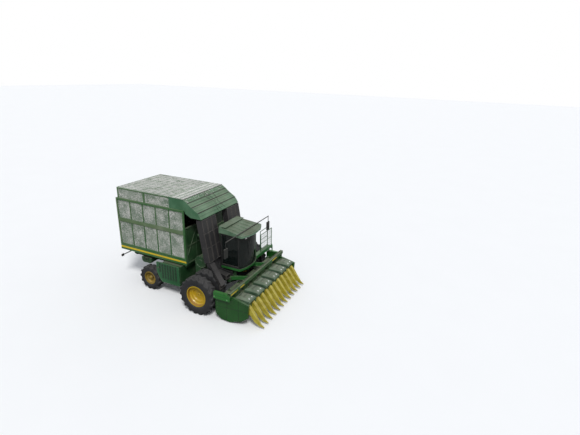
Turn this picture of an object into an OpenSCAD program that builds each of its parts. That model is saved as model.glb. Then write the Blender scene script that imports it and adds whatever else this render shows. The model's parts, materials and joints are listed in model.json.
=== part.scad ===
// Six row cotton harvester with a tipping basket, standing on its wheels.
// Every module is drawn with zero on the ground under the front axle,
// X forward, Y to the left and Z up. place() moves the whole machine so
// that zero lies on the ground under the middle of its outline.

/* [Rows] */
// Number of rows picked at once
row_count = 6; // [4:2:6]
// Distance from row to row
row_gap = 762; // [740:1:790]
// Width of one row unit cabinet
unit_w = 640; // [600:1:680]
// Rear end of the row units
unit_rear_x = 960; // [950:1:1000]
// Front end of the row units
unit_front_x = 2450; // [2400:1:2500]
// Underside of the row units
unit_low_z = 90; // [70:1:130]
// Top of the row unit cabinets
unit_top_z = 1080; // [1040:1:1120]
// Width of the throat that a row passes through
throat_w = 130; // [110:1:150]
// Height of the throat roof
throat_top_z = 930; // [880:1:960]
// Radius of one picking drum over its bars
drum_r = 115; // [105:1:118]
// Width of the rounded cap on a row unit
cap_w = 530; // [480:1:560]
// Rear end of the cap
cap_rear_x = 1830; // [1800:1:1900]
// Front end of the cap
cap_front_x = 2560; // [2500:1:2600]
// Top of the cap
cap_top_z = 1310; // [1280:1:1340]
// Tip of the stalk lifters
lifter_tip_x = 3240; // [3150:1:3300]
// Height of the lifter tip
lifter_tip_z = 110; // [90:1:160]
// Width of a stalk lifter at its root
lifter_root_w = 150; // [120:1:160]
// Width of a stalk lifter near its tip
lifter_t = 70; // [50:1:80]

/* [Header frame] */
// Place of the toolbar, along X
toolbar_x = 1760; // [1740:1:1780]
// Centre height of the toolbar
toolbar_z = 1480; // [1460:1:1500]
// Side of the square toolbar
toolbar_w = 150; // [130:1:160]
// Length of the toolbar
toolbar_len = 4960; // [4900:1:5000]
// Distance of a lift arm from the middle
arm_y = 790; // [760:1:820]
// Thickness of a lift arm
arm_t = 90; // [70:1:110]
// Pivot of the lift arms, along X
lift_x = 740; // [720:1:760]
// Pivot of the lift arms, height
lift_z = 1230; // [1210:1:1250]
// Distance of the end shield from the middle
shield_y = 2330; // [2310:1:2350]

/* [Wheels] */
// Outer radius of a front tyre
front_r = 890; // [870:1:900]
// Width of a front tyre
front_w = 460; // [440:1:470]
// Lugs round each half of a front tyre
front_lugs = 18; // [16:1:20]
// Height of the tyre lugs
lug_h = 42; // [30:1:48]
// Flange radius of a front rim
front_rim_r = 500; // [480:1:520]
// Centre of the inner front wheel from the middle
front_inner_y = 1530; // [1520:1:1540]
// Centre of the outer front wheel from the middle
front_outer_y = 2240; // [2230:1:2250]
// Distance from front to rear axle
wheelbase = 3340; // [3300:1:3400]
// Outer radius of a rear tyre
rear_r = 620; // [600:1:640]
// Width of a rear tyre
rear_w = 370; // [350:1:380]
// Lugs round each half of a rear tyre
rear_lugs = 13; // [12:1:16]
// Flange radius of a rear rim
rear_rim_r = 330; // [320:1:350]
// Centre of a rear wheel from the middle
rear_y = 1545; // [1530:1:1560]
// Kingpin from the middle
kingpin_y = 1260; // [1240:1:1280]

/* [Basket] */
// Rear face of the basket
basket_rear_x = -5190; // [-5250:1:-5150]
// Front face of the basket
basket_front_x = -1150; // [-1200:1:-1120]
// Half width of the basket
basket_half = 1560; // [1550:1:1570]
// Underside of the basket
basket_low_z = 1750; // [1740:1:1760]
// Middle of the wide rail between lower and upper screens
mid_rail_z = 3330; // [3250:1:3400]
// Top of the fixed basket sides
basket_top_z = 4410; // [4380:1:4450]
// Thickness of a basket wall
basket_wall = 56; // [50:1:60]
// Number of screen bays along a side
bay_count = 5; // [4:1:6]
// Height of the bottom beam
beam_h = 330; // [300:1:360]
// Height of the raised top over the fixed basket
top_rise = 510; // [480:1:560]
// Running gap between fixed and telescoping sections
top_gap = 12; // [8:1:16]
// Wall of the telescoping section
top_wall = 34; // [25:1:36]
// Rear end of the hood, where the ribbed panels start
hood_rear_x = -1990; // [-2050:1:-1900]

/* [Ducts] */
// Pitch of the three ducts of one side
duct_pitch = 352; // [345:1:360]
// Middle duct of a side, from the middle of the machine
duct_mid_y = 975; // [960:1:990]
// Depth of an upper duct
duct_depth = 290; // [280:1:300]
// Wall of a duct
duct_wall = 14; // [10:1:18]

/* [Cab] */
// Rear wall of the cab
cab_rear_x = 230; // [220:1:240]
// Foremost point of the bowed front glass
cab_front_x = 1400; // [1380:1:1420]
// Half width of the cab
cab_half = 760; // [740:1:780]
// Top of the cab floor
cab_floor_z = 1760; // [1750:1:1780]
// Underside of the roof
cab_roof_z = 3370; // [3340:1:3400]
// How far the front bows out
cab_bow = 190; // [170:1:210]
// Thickness of cab walls and posts
cab_wall = 50; // [45:1:60]

/* [Engine] */
// Front of the slotted service doors
door_front_x = -1420; // [-1440:1:-1400]
// Rear of the slotted service doors
door_rear_x = -2740; // [-2750:1:-2600]
// Outer face of the service doors from the middle
door_y = 1800; // [1790:1:1810]
// Bottom of the service doors
door_low_z = 700; // [680:1:740]
// Top of the service doors
door_top_z = 1690; // [1670:1:1700]

/* [Hidden] */

// Clearances: a seat between fixed pieces, a running pin, and a moving pair
seat = 0.3;
run = 0.5;
free = 12;

// Fixed smoothness of round pieces
$fn = 48;

// Rear and front ends of the machine set where its middle is
hitch_rear_x = basket_rear_x - 230;
tip_xs = [basket_rear_x - 100, basket_front_x + 100];
middle_x = (lifter_tip_x + hitch_rear_x) / 2;

// Chassis rails
rail_y = 560;
rail_w = 110;
rail_low_z = 1060;
rail_high_z = 1290;
rail_rear_x = basket_rear_x - 170;
rail_front_x = 900;
pedestal_w = 140;
pedestal_xs = [basket_rear_x + 900, basket_front_x - 130];
exhaust_x = -700;
tow_x = hitch_rear_x + 35;
tow_z = 1160;
tow_plate_w = 120;
tow_plate_t = 30;
tow_pin_r = 13.5;
roof_z = basket_top_z + top_rise;
hinge_y = basket_half + 60;
hinge_z = basket_low_z - 50;
side_hinge_x = door_front_x + 5;
side_hinge_y = door_y + 14;
side_hinge_zs = [door_low_z + 260, door_top_z - 180];

// Front axle
axle_tube_r = 150;
spindle_r = 70;
front_hub_face_y = front_inner_y - front_w / 2 + 60;
front_rim_w = front_w - 90;

// Rear axle
rear_x = -wheelbase;
rear_rim_w = rear_w - 80;
rear_spindle_r = 45;
kingpin_r = 34;
steer_arm = 260;

// Cab
cab_arc_r = (pow(cab_half, 2) + pow(cab_bow, 2)) / (2 * cab_bow);
cab_arc_x = cab_front_x - cab_arc_r;
cab_corner_x = cab_front_x - cab_bow;
glass_t = 8;
door_hinge_x = cab_corner_x - 64;
door_hinge_y = cab_half;
door_hinge_zs = [cab_floor_z + 260, cab_floor_z + 1380];

// Ducts: centre line of an upper sleeve, from its mouth under the hood down
sleeve_top = [-378, 4075];
sleeve_low = [-30, 2100];
sleeve_run = sleeve_low - sleeve_top;
sleeve_dir = sleeve_run / norm(sleeve_run);
sleeve_across = [-sleeve_dir[1], sleeve_dir[0]];
duct_w = duct_pitch - 22;
// Lower ducts of one side, inner to outer: knee (x, z) under the sleeve, then the
// centres (x, y, z) of the bend and of the mouth
lower_depth = 190;
over_x = 520;
over_z = front_r + sqrt(pow(front_r, 2) - pow(over_x, 2)) + lower_depth / 2 + 108;
lower_routes = [
    [[-20, 1900], [110, 600, 1480], [760, 520, 1400]],
    [[-20, 1900], [110, 960, 1480], [760, 1010, 1400]],
    [[30, 2 * front_r + 205], [over_x, 1600, over_z], [front_r + 110, 1850, 1395]]];

function unit(v) = v / norm(v);
function across(v) = [-v[1], v[0]];
// One edge of a band along a line of points, at a distance from it, with mitred corners
function edge(pts, half) = [for (i = [0:len(pts) - 1])
    let (a = across(unit(pts[max(i, 1)] - pts[max(i, 1) - 1])),
        b = across(unit(pts[min(i + 1, len(pts) - 1)] - pts[min(i + 1, len(pts) - 1) - 1])))
    pts[i] + (a + b) / (1 + a * b) * half];
function flipped(pts) = [for (i = [len(pts) - 1:-1:0]) pts[i]];
function band(pts, half) = concat(edge(pts, half), flipped(edge(pts, -half)));
// The same line made longer at both ends
function stretched(pts, by) = [for (i = [0:len(pts) - 1])
    i == 0 ? pts[0] - unit(pts[1] - pts[0]) * by
    : i == len(pts) - 1 ? pts[i] + unit(pts[i] - pts[i - 1]) * by : pts[i]];
function span(count, step) = [for (i = [0:count - 1]) (i - (count - 1) / 2) * step];

module place() {
    translate([-middle_x, 0, 0]) children();
}

// A box given by its faces
module block(x0, x1, y0, y1, z0, z1) {
    translate([x0, y0, z0]) cube([x1 - x0, y1 - y0, z1 - z0]);
}

// A side view outline, points as (x, z), made solid from y0 to y1
module side_plate(points, y0, y1) {
    translate([0, y1, 0]) rotate([90, 0, 0]) linear_extrude(y1 - y0) polygon(points);
}

// A front view outline, points as (y, z), made solid from x0 to x1
module front_plate(points, x0, x1) {
    translate([x0, 0, 0]) rotate([90, 0, 90]) linear_extrude(x1 - x0) polygon(points);
}

// A round bar along Y, X or Z
module bar_y(r, x, z, y0, y1) {
    translate([x, y1, z]) rotate([90, 0, 0]) cylinder(r = r, h = y1 - y0);
}

module bar_x(r, y, z, x0, x1) {
    translate([x0, y, z]) rotate([0, 90, 0]) cylinder(r = r, h = x1 - x0);
}

module bar_z(r, x, y, z0, z1) {
    translate([x, y, z0]) cylinder(r = r, h = z1 - z0);
}

// A straight round bar between two points of one plane y
module slant_bar(r, a, b, y) {
    d = b - a;
    translate([a[0], y, a[1]]) rotate([0, atan2(d[0], d[1]), 0]) cylinder(r = r, h = norm(d));
}

// The same between two points (y, z) of one plane x
module slant_bar_x(r, a, b, x) {
    d = b - a;
    translate([x, a[0], a[1]]) rotate([-atan2(d[0], d[1]), 0, 0]) cylinder(r = r, h = norm(d));
}

// The piece and its mirror image on the other side
module both_sides() {
    children();
    mirror([0, 1, 0]) children();
}

module left_only() {
    children();
}

module right_only() {
    mirror([0, 1, 0]) children();
}

// Chassis

module main_frame() color([0.10, 0.28, 0.12]) place() {
    inner = rail_y - rail_w / 2 - seat;
    outer = rail_y + rail_w / 2 + seat;
    saddle_z = basket_low_z - 150;
    both_sides() block(rail_rear_x, rail_front_x, rail_y - rail_w / 2, rail_y + rail_w / 2,
        rail_low_z, rail_high_z);
    for (x = [-2640, exhaust_x, 260])
        block(x - 60, x + 60, -inner, inner, rail_low_z + 20, rail_high_z - 20);
    // Rear cross member with the tow plate
    difference() {
        union() {
            block(rail_rear_x, rail_rear_x + 120, -inner, inner, rail_low_z + 20, rail_high_z - 20);
            block(hitch_rear_x, rail_rear_x + 20, -tow_plate_w / 2, tow_plate_w / 2, tow_z - tow_plate_t / 2,
                tow_z + tow_plate_t / 2);
        }
        bar_z(tow_pin_r, tow_x, 0, tow_z - tow_plate_t, tow_z + tow_plate_t);
    }
    // Cross member over the rear axle, its hangers and pivot pin
    block(rear_x - 140, rear_x + 140, -inner, inner, rail_low_z + 20, rail_high_z - 20);
    for (s = [-1, 1])
        block(rear_x + s * 110 - 20, rear_x + s * 110 + 20, -120, 120, rear_r - 110, rail_low_z + 30);
    bar_x(45 - run, 0, rear_r, rear_x - 130, rear_x + 130);
    // Pedestals and saddle beams that the basket rests on, cut out for its hinge ears
    for (x = pedestal_xs) {
        both_sides() block(x - pedestal_w / 2, x + pedestal_w / 2, rail_y - rail_w / 2,
            rail_y + rail_w / 2, rail_high_z + seat, saddle_z - seat);
        difference() {
            union() {
                block(x - pedestal_w / 2, x + pedestal_w / 2, -basket_half + 80, hinge_y - 75, saddle_z,
                    basket_low_z - 10);
                block(x - pedestal_w / 2, x + pedestal_w / 2, hinge_y - 75, hinge_y + 45, saddle_z, hinge_z + 45);
            }
            bar_x(30, hinge_y, hinge_z, x - pedestal_w, x + pedestal_w);
            block(x - 35, x + 35, hinge_y - 340, hinge_y + 60, saddle_z - 10, hinge_z + 60);
        }
    }
    both_sides() {
        // Front axle saddles
        block(-130, 130, rail_y - rail_w / 2, rail_y + rail_w / 2, front_r + axle_tube_r - 30, rail_low_z - seat);
        // Brackets and pins that carry the lift arms
        for (y = [arm_y - arm_t / 2 - free - 40, arm_y + arm_t / 2 + free])
            side_plate([[lift_x - 110, rail_low_z], [lift_x + 60, rail_low_z],
                [lift_x + 75, lift_z + 60], [lift_x - 75, lift_z + 60], [lift_x - 260, rail_high_z]], y, y + 40);
        block(lift_x - 240, lift_x - 120, outer, arm_y + arm_t / 2 + free + 40, rail_low_z + 10, rail_high_z - 10);
        bar_y(35 - run, lift_x, lift_z, arm_y - arm_t / 2 - free - 41, arm_y + arm_t / 2 + free + 41);
        // Posts under the cab floor
        block(rail_front_x - 120, rail_front_x - 10, rail_y - 50, rail_y + 50, rail_high_z + seat,
            cab_floor_z - 60);
        block(cab_rear_x + 16, cab_rear_x + 80, 250, 350, rail_high_z - 20 + seat, cab_floor_z - 60);
        // Hangers and pins of the header lift cylinders
        side_plate([[lift_base[0] - 90, rail_low_z - seat], [lift_base[0] + 90, rail_low_z - seat],
            [lift_base[0] + 45, lift_base[1] - 40], [lift_base[0] - 45, lift_base[1] - 40]],
            rail_y + rail_w / 2 - 40, rail_y + rail_w / 2);
        bar_y(lift_pin_r - run, lift_base[0], lift_base[1], rail_y + rail_w / 2 - 10, lift_cyl_y + 36);
    }
    // Brackets and pins of the tipping cylinders beside the left rail
    for (x = tip_xs) {
        for (s = [-1, 1])
            block(x + s * 76 - 12, x + s * 76 + 12, outer, tip_base[0] + 50, tip_base[1] - 60, tip_base[1] + 60);
        bar_x(tip_pin_r - run, tip_base[0], tip_base[1], x - 70, x + 70);
    }
}

module front_axle() color([0.10, 0.26, 0.12]) place() {
    difference() {
        union() {
            bar_y(axle_tube_r, 0, front_r, -front_hub_face_y + 120, front_hub_face_y - 120);
            // Drive case in the middle and the reduction cases at the ends
            block(-260, 260, -260, 260, front_r - 230, front_r + 160);
            both_sides() bar_y(250, 0, front_r, front_hub_face_y - 260, front_hub_face_y - 30);
            both_sides() bar_y(spindle_r, 0, front_r, front_hub_face_y - 40, front_inner_y + 120);
        }
        both_sides() block(-130 - seat, 130 + seat, rail_y - rail_w / 2 - seat,
            rail_y + rail_w / 2 + seat, front_r + axle_tube_r - 30 - seat, rail_low_z);
    }
}

module rear_axle() color([0.10, 0.26, 0.12]) place() {
    difference() {
        union() {
            front_plate([[-kingpin_y + 60, rear_r - 60], [-kingpin_y + 130, rear_r - 60], [-300, rear_r - 100],
                [300, rear_r - 100], [kingpin_y - 130, rear_r - 60], [kingpin_y - 60, rear_r - 60],
                [kingpin_y - 60, rear_r + 60], [kingpin_y - 130, rear_r + 60], [300, rear_r + 100],
                [-300, rear_r + 100], [-kingpin_y + 130, rear_r + 60], [-kingpin_y + 60, rear_r + 60]],
                rear_x - 80, rear_x + 80);
            both_sides() bar_z(85, rear_x, kingpin_y, rear_r - 60, rear_r + 60);
        }
        both_sides() bar_z(kingpin_r, rear_x, kingpin_y, rear_r - 200, rear_r + 200);
        bar_x(45, 0, rear_r, rear_x - 200, rear_x + 200);
    }
}

module engine_block() color([0.12, 0.13, 0.12]) place() {
    block(-2500, -1430, -480, 480, rail_high_z - 620, rail_low_z - seat);
    block(-2450, -1450, -rail_y + rail_w / 2 + seat, rail_y - rail_w / 2 - seat, rail_low_z - 10,
        basket_low_z - 170);
}

module engine_housing() color([0.07, 0.22, 0.09]) place() {
    // Front wall, ribs and floor between the service doors
    difference() {
        union() {
            block(door_front_x + 10, door_front_x + 50, -door_y + 40, door_y - 40, door_low_z + 40, door_top_z);
            both_sides() block(-2480, door_front_x + 10, rail_y + rail_w / 2 + 30, door_y - 120,
                door_top_z - 60, door_top_z - 20);
            both_sides() block(-2480, door_front_x + 10, rail_y + rail_w / 2 + 30, rail_y + rail_w / 2 + 60,
                door_low_z + 40, door_top_z - 60);
            both_sides() block(-2480, door_front_x + 10, rail_y + rail_w / 2 + 30, door_y - 120,
                door_low_z + 40, door_low_z + 80);
        }
        both_sides() block(door_front_x, door_front_x + 60, rail_y - rail_w / 2 - seat,
            rail_y + rail_w / 2 + seat, rail_low_z - seat, rail_high_z + seat);
    }
    // Hinge lugs and pins of the service doors
    both_sides() for (z = side_hinge_zs) translate([side_hinge_x, side_hinge_y, z]) {
        cylinder(r = 8, h = 60);
        translate([0, 0, -60]) cylinder(r = 4 - run, h = 70);
        translate([0, -4, 0]) cube([30, 8, 60]);
        translate([10, -80, 0]) cube([20, 84, 60]);
    }
}

module side_tanks() color([0.10, 0.30, 0.12]) place() {
    x = pedestal_xs[0] + 340;
    low = rail_high_z + seat;
    both_sides() side_plate([[x, low + 110], [x + 80, low], [x + 520, low], [x + 600, low + 110],
        [x + 600, basket_low_z - 190], [x, basket_low_z - 190]], rail_y - rail_w / 2, basket_half - 60);
}

module upper_duct_ring(y, w, top, low, depth) {
    // One straight tube along the sleeve line from s = top to s = low
    a = sleeve_top + sleeve_dir * top;
    b = sleeve_top + sleeve_dir * low;
    n = sleeve_across * depth / 2;
    m = sleeve_across * (depth / 2 - duct_wall);
    e = sleeve_dir * 5;
    difference() {
        side_plate([a - n, b - n, b + n, a + n], y - w / 2, y + w / 2);
        side_plate([a - m - e, b - m + e, b + m + e, a + m - e], y - w / 2 + duct_wall, y + w / 2 - duct_wall);
    }
}

sleeve_len = norm(sleeve_run);
lower_w = duct_w - 2 * duct_wall - 2 * seat;

// A lower duct is the band that its side view leaves in common with its plan view
module lower_duct(y, route, half, w, ends) {
    head = sleeve_top + sleeve_dir * (sleeve_len - 330);
    bend = route[1];
    mouth = route[2];
    path = stretched([head, route[0], [bend[0], bend[2]], [mouth[0], mouth[2]]], ends);
    turn_x = route[0][0] + lower_depth / 2 + 20;
    plan = [[head[0] - 200, y], [turn_x, y], [bend[0], bend[1]], [mouth[0] + 100, mouth[1]]];
    intersection() {
        side_plate(band(path, half), 0, 3000);
        linear_extrude(3000) polygon(concat([for (p = plan) p - [0, w / 2]],
            flipped([for (p = plan) p + [0, w / 2]])));
    }
}

module lower_ducts() color([0.13, 0.13, 0.14]) place() {
    both_sides() for (i = [0:2]) {
        y = duct_mid_y + (i - 1) * duct_pitch;
        difference() {
            lower_duct(y, lower_routes[i], lower_depth / 2, lower_w, 0);
            lower_duct(y, lower_routes[i], lower_depth / 2 - duct_wall, lower_w - 2 * duct_wall, 5);
        }
    }
}

// Gantry behind the ducts: posts on the rails and a beam against the sleeves
module duct_supports() color([0.09, 0.24, 0.10]) place() {
    half = duct_mid_y + duct_pitch + duct_w / 2;
    beam_t = 80;
    for (s = [sleeve_len - 420, 620]) {
        a = sleeve_top + sleeve_dir * s - sleeve_across * (duct_depth / 2 + seat);
        b = a + sleeve_dir * 90;
        side_plate([a, b, b - sleeve_across * beam_t, a - sleeve_across * beam_t], -half, half);
    }
    // Slanting posts on the rails, cut level at the foot
    top = sleeve_top + sleeve_dir * 620 - sleeve_across * (duct_depth / 2 + beam_t + 2 * seat);
    drop = (top[1] - rail_high_z - seat) / -sleeve_dir[1];
    foot = top + sleeve_dir * drop;
    both_sides() side_plate([top, foot, foot - [80, 0], top - sleeve_across * 78], rail_y - 45, rail_y + 45);
    // Cross bearers on the rails under the lower ducts
    both_sides() block(180, 250, rail_y + rail_w / 2 + seat, 1200, rail_high_z - 90,
        1400 - lower_depth / 2 - 10);
}

module fan_housings() color([0.08, 0.20, 0.09]) place() {
    both_sides() {
        bar_y(300, -640, 1890, 420, 1180);
        block(-940, -640, 420, 1180, rail_high_z + seat, 1890);
        block(-640, -340, 520, 1080, rail_high_z + seat, 1700);
    }
}

module exhaust_pipe() color([0.55, 0.55, 0.53]) place() {
    bar_z(70, exhaust_x, 0, 1600, 3900);
    bar_z(100, exhaust_x, 0, 2500, 3400);
    block(exhaust_x - 140, exhaust_x + 140, -140, 140, rail_high_z - 20 + seat, 1600);
}

// Platform, ladder and handrails on the left

platform_z = cab_floor_z - 60;
platform_out_y = 2490;
ladder_low_z = 420;

module platform() color([0.10, 0.36, 0.14]) place() {
    block(cab_rear_x - 20, 900, cab_half + 60, 1265, platform_z - 50, platform_z);
    block(900, 1180, cab_half + 60, platform_out_y, platform_z - 50, platform_z);
    block(1180, 1200, cab_half + 60, platform_out_y, platform_z - 50, platform_z + 90);
    // Outriggers from the front posts of the frame
    block(rail_front_x - 100, rail_front_x - 30, rail_y + 50 + seat, 1265, platform_z - 130, platform_z - 50);
    block(1090, 1160, 870, 2300, platform_z - 130, platform_z - 50);
    // Ladder on the outer end
    for (x = [880, 1180])
        front_plate([[platform_out_y - 1, platform_z], [platform_out_y + 50, platform_z],
            [platform_out_y + 70, ladder_low_z], [platform_out_y + 20, ladder_low_z]], x - 20, x + 20);
    for (z = [ladder_low_z + 30:270:platform_z - 160])
        block(890, 1170, platform_out_y + 12, platform_out_y + 70, z, z + 30);
}

module handrail(x, y_in) {
    for (y = [y_in, platform_out_y - 30]) bar_z(18, x, y, platform_z + seat, platform_z + 1000);
    bar_y(18, x, platform_z + 1000, y_in, platform_out_y - 30);
    bar_y(14, x, platform_z + 520, y_in, platform_out_y - 30);
}

module handrails() color([0.22, 0.42, 0.25]) place() {
    // The rear rail starts outside the sweep of the cab door
    handrail(920, 1700);
    handrail(1160, 1330);
}

// Cab

module cab_plan(inset) {
    intersection() {
        translate([cab_rear_x + inset, -cab_half + inset])
            square([cab_front_x - cab_rear_x - 2 * inset + cab_bow, 2 * (cab_half - inset)]);
        translate([cab_arc_x, 0]) circle(r = cab_arc_r - inset, $fn = 128);
    }
}

skirt_h = 110;

module cab_floor() color([0.08, 0.30, 0.12]) place() {
    translate([0, 0, cab_floor_z - 60 + seat]) linear_extrude(60 - seat) cab_plan(0);
    // Skirt round its edge
    translate([0, 0, cab_floor_z - skirt_h + seat]) linear_extrude(skirt_h - seat) difference() {
        cab_plan(0);
        cab_plan(14);
    }
}

module cab_frame() color([0.07, 0.08, 0.07]) place() {
    h = cab_roof_z - cab_floor_z - 2 * seat;
    side_len = cab_corner_x - 60 - cab_rear_x - cab_wall;
    translate([0, 0, cab_floor_z + seat]) {
        // Rear wall with its window cut
        difference() {
            translate([cab_rear_x, -cab_half, 0]) cube([cab_wall, 2 * cab_half, h]);
            translate([cab_rear_x - 1, -480, 620]) cube([cab_wall + 2, 960, 760]);
        }
        // Front corner posts
        both_sides() translate([cab_corner_x - 60, cab_half - cab_wall, 0]) cube([60, cab_wall - 12, h]);
        // Right side: sill, header and rear panel
        translate([cab_rear_x + cab_wall, -cab_half, 0]) cube([side_len, cab_wall - 12, 90]);
        translate([cab_rear_x + cab_wall, -cab_half, h - 70]) cube([side_len, cab_wall - 12, 70]);
        // Hinge lugs and pins of the door
        for (z = door_hinge_zs) translate([door_hinge_x, door_hinge_y, z - cab_floor_z]) {
            cylinder(r = 10, h = 60);
            translate([0, 0, -60]) cylinder(r = 5 - run, h = 70);
            translate([0, -13, 0]) cube([40, 19, 60]);
        }
        // Header over the door
        translate([cab_rear_x + cab_wall, cab_half - cab_wall + 12, h - 70])
            cube([side_len, cab_wall - 24, 70]);
    }
}

module cab_glass() color([0.10, 0.14, 0.14, 0.5]) place() {
    h = cab_roof_z - cab_floor_z - 2 * seat;
    // Bowed front glass
    translate([0, 0, cab_floor_z + seat]) linear_extrude(h) difference() {
        cab_plan(0);
        cab_plan(glass_t);
        translate([cab_rear_x - 1, -cab_half - 1])
            square([cab_corner_x - cab_rear_x + 1 + seat, 2 * cab_half + 2]);
    }
    // Right side glass
    block(cab_rear_x + cab_wall + seat, cab_corner_x - 60 - seat, -cab_half + 12, -cab_half + 12 + glass_t,
        cab_floor_z + 90 + 2 * seat, cab_roof_z - 70 - 2 * seat);
    // Rear window
    block(cab_rear_x + 20, cab_rear_x + 20 + glass_t, -480 + seat, 480 - seat,
        cab_floor_z + 620 + 2 * seat, cab_floor_z + 1380);
}

roof_front_x = 1560;
roof_arc_x = -240;
roof_arc_r = 1880;
// Top of the roof in side view, from its rear to its front edge
roof_line = [[150, cab_roof_z + 260], [480, cab_roof_z + 240], [1260, cab_roof_z + 130],
    [roof_front_x + 60, cab_roof_z + 70]];

module roof_plan(inset) {
    intersection() {
        polygon([[150 + inset, -790 + inset], [480, -800 + inset], [1500, -910 + inset], [1700, -910 + inset],
            [1700, 910 - inset], [1500, 910 - inset], [480, 800 - inset], [150 + inset, 790 - inset]]);
        translate([roof_arc_x, 0]) circle(r = roof_arc_r - inset, $fn = 128);
    }
}

module cab_roof() color([0.30, 0.46, 0.30]) place() {
    // A shallow crowned lid with a flat underside, grooved along its front lip
    difference() {
        intersection() {
            side_plate(concat(roof_line, [[roof_front_x + 60, cab_roof_z], [150, cab_roof_z]]), -920, 920);
            translate([0, 0, cab_roof_z - 1]) linear_extrude(400) roof_plan(0);
        }
        intersection() {
            side_plate(band([roof_line[1], roof_line[2], roof_line[3] + [60, -12]], 14), -920, 920);
            translate([0, 0, cab_roof_z]) linear_extrude(400) difference() {
                roof_plan(95);
                roof_plan(125);
                translate([0, -1000]) square([1150, 2000]);
            }
        }
    }
    // Lengthwise ribs between the rear panel and the mirror bar
    for (y = span(5, 300))
        side_plate(band([roof_line[1] + [60, -8], roof_line[2] - [60, -8]], 20), y - 45, y + 45);
    // Raised rear panel, open below its front edge
    side_plate([[150, cab_roof_z + 255], [300, cab_roof_z + 245], [320, cab_roof_z + 300], [520, cab_roof_z + 292],
        [520, cab_roof_z + 310], [150, cab_roof_z + 325]], -770, 770);
}

module lamps() color([0.75, 0.75, 0.70]) place() {
    // Work lamps under the front edge of the roof
    for (y = [-620, -360, 360, 620])
        block(1420, 1500, y - 80, y + 80, cab_roof_z - 90, cab_roof_z - seat);
    // Tail lamps on a bar behind the rails
    both_sides() {
        block(hitch_rear_x, rail_rear_x - seat, 1300, 1440, rail_high_z - 90, rail_high_z + 30);
        block(rail_rear_x - 35, rail_rear_x - seat, rail_y - rail_w / 2, 1300, rail_high_z - 45, rail_high_z - 5);
    }
}

module mirrors() color([0.12, 0.12, 0.12]) place() {
    // One bar along the front of the roof, out to a mirror on each side
    bar_y(22, 1260, cab_roof_z + 170, -1900, 1900);
    both_sides() {
        bar_z(16, 1260, 1880, 2820, cab_roof_z + 170);
        block(1225, 1275, 1760, 2000, 2820, 3240);
        bar_z(18, 1260, 500, cab_roof_z + 133, cab_roof_z + 170);
    }
}

module seat_cushion() color([0.20, 0.20, 0.20]) place() {
    block(430, 930, -250, 250, cab_floor_z + 330 + seat, cab_floor_z + 470);
    block(340, 430 - seat, -240, 240, cab_floor_z + 380, cab_floor_z + 1050);
}

module cab_fittings() color([0.08, 0.08, 0.08]) place() {
    // Seat stand, steering column and wheel
    block(480, 860, -200, 200, cab_floor_z + seat, cab_floor_z + 330);
    slant_bar(35, [1130, cab_floor_z + 20], [987, cab_floor_z + 718], 0);
    translate([985, 0, cab_floor_z + 724]) rotate([0, -12, 0]) {
        rotate_extrude() translate([190, 0]) circle(r = 16, $fn = 24);
        translate([0, 0, -12]) cylinder(r = 40, h = 24);
        for (a = [90, 210, 330]) rotate([0, 0, a]) translate([0, -12, -8]) cube([185, 24, 16]);
    }
    block(1080, 1180, -70, 70, cab_floor_z + seat, cab_floor_z + 40);
}

module cab_door() color([0.08, 0.10, 0.08]) place() {
    for (z = door_hinge_zs) translate([door_hinge_x, door_hinge_y, z - 60 - run]) difference() {
        union() {
            cylinder(r = 10, h = 60);
            translate([-44, -14, 0]) cube([44, 20, 60]);
        }
        translate([0, 0, -1]) cylinder(r = 5, h = 62);
    }
    x0 = cab_rear_x + cab_wall + 8;
    x1 = cab_corner_x - 60 - 8;
    z0 = cab_floor_z + 12;
    z1 = cab_roof_z - 70 - 12;
    difference() {
        block(x0, x1, cab_half - cab_wall + 12, cab_half - 12, z0, z1);
        block(x0 + 60, x1 - 60, cab_half - cab_wall, cab_half, z0 + 260, z1 - 60);
    }
    block(x0 + 60 + seat, x1 - 60 - seat, cab_half - 34, cab_half - 26, z0 + 260 + seat, z1 - 60 - seat);
}

// Header

unit_ys = span(row_count, row_gap);

module toolbar() color([0.11, 0.36, 0.15]) place() {
    difference() {
        block(toolbar_x - toolbar_w / 2, toolbar_x + toolbar_w / 2, -toolbar_len / 2, toolbar_len / 2,
            toolbar_z - toolbar_w / 2, toolbar_z + toolbar_w / 2);
        block(toolbar_x - toolbar_w / 2 + 12, toolbar_x + toolbar_w / 2 - 12, -toolbar_len, toolbar_len,
            toolbar_z - toolbar_w / 2 + 12, toolbar_z + toolbar_w / 2 - 12);
    }
    // Hangers that carry each row unit
    for (y = unit_ys)
        difference() {
            side_plate([[toolbar_x - 240, unit_top_z + seat], [toolbar_x + 50, unit_top_z + seat],
                [toolbar_x + 60, toolbar_z - toolbar_w / 2 - seat],
                [toolbar_x - 60, toolbar_z - toolbar_w / 2 - seat],
                [toolbar_x - 240, unit_top_z + 60]], y - 100, y + 100);
            side_plate([[toolbar_x - 300, unit_top_z - 10], [toolbar_x + 100, unit_top_z - 10],
                [toolbar_x + 100, toolbar_z], [toolbar_x - 300, toolbar_z]], y - 80, y + 80);
        }
}

module lift_arms() color([0.11, 0.36, 0.15]) place() {
    both_sides() difference() {
        union() {
            side_plate([[lift_x, lift_z - 75], [lift_x + 60, lift_z - 70],
                [toolbar_x - toolbar_w / 2 - seat, toolbar_z - toolbar_w / 2 + 5],
                [toolbar_x - toolbar_w / 2 - seat, toolbar_z + toolbar_w / 2 - 5],
                [lift_x + 300, lift_z + 170], [lift_x, lift_z + 75]], arm_y - arm_t / 2, arm_y + arm_t / 2);
            bar_y(75, lift_x, lift_z, arm_y - arm_t / 2, arm_y + arm_t / 2);
        }
        bar_y(35, lift_x, lift_z, arm_y - arm_t, arm_y + arm_t);
    }
    // Boss beside each rod eye
    both_sides() bar_y(38, lift_eye[0], lift_eye[1], lift_cyl_y + 20 + free, arm_y - arm_t / 2);
}

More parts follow.
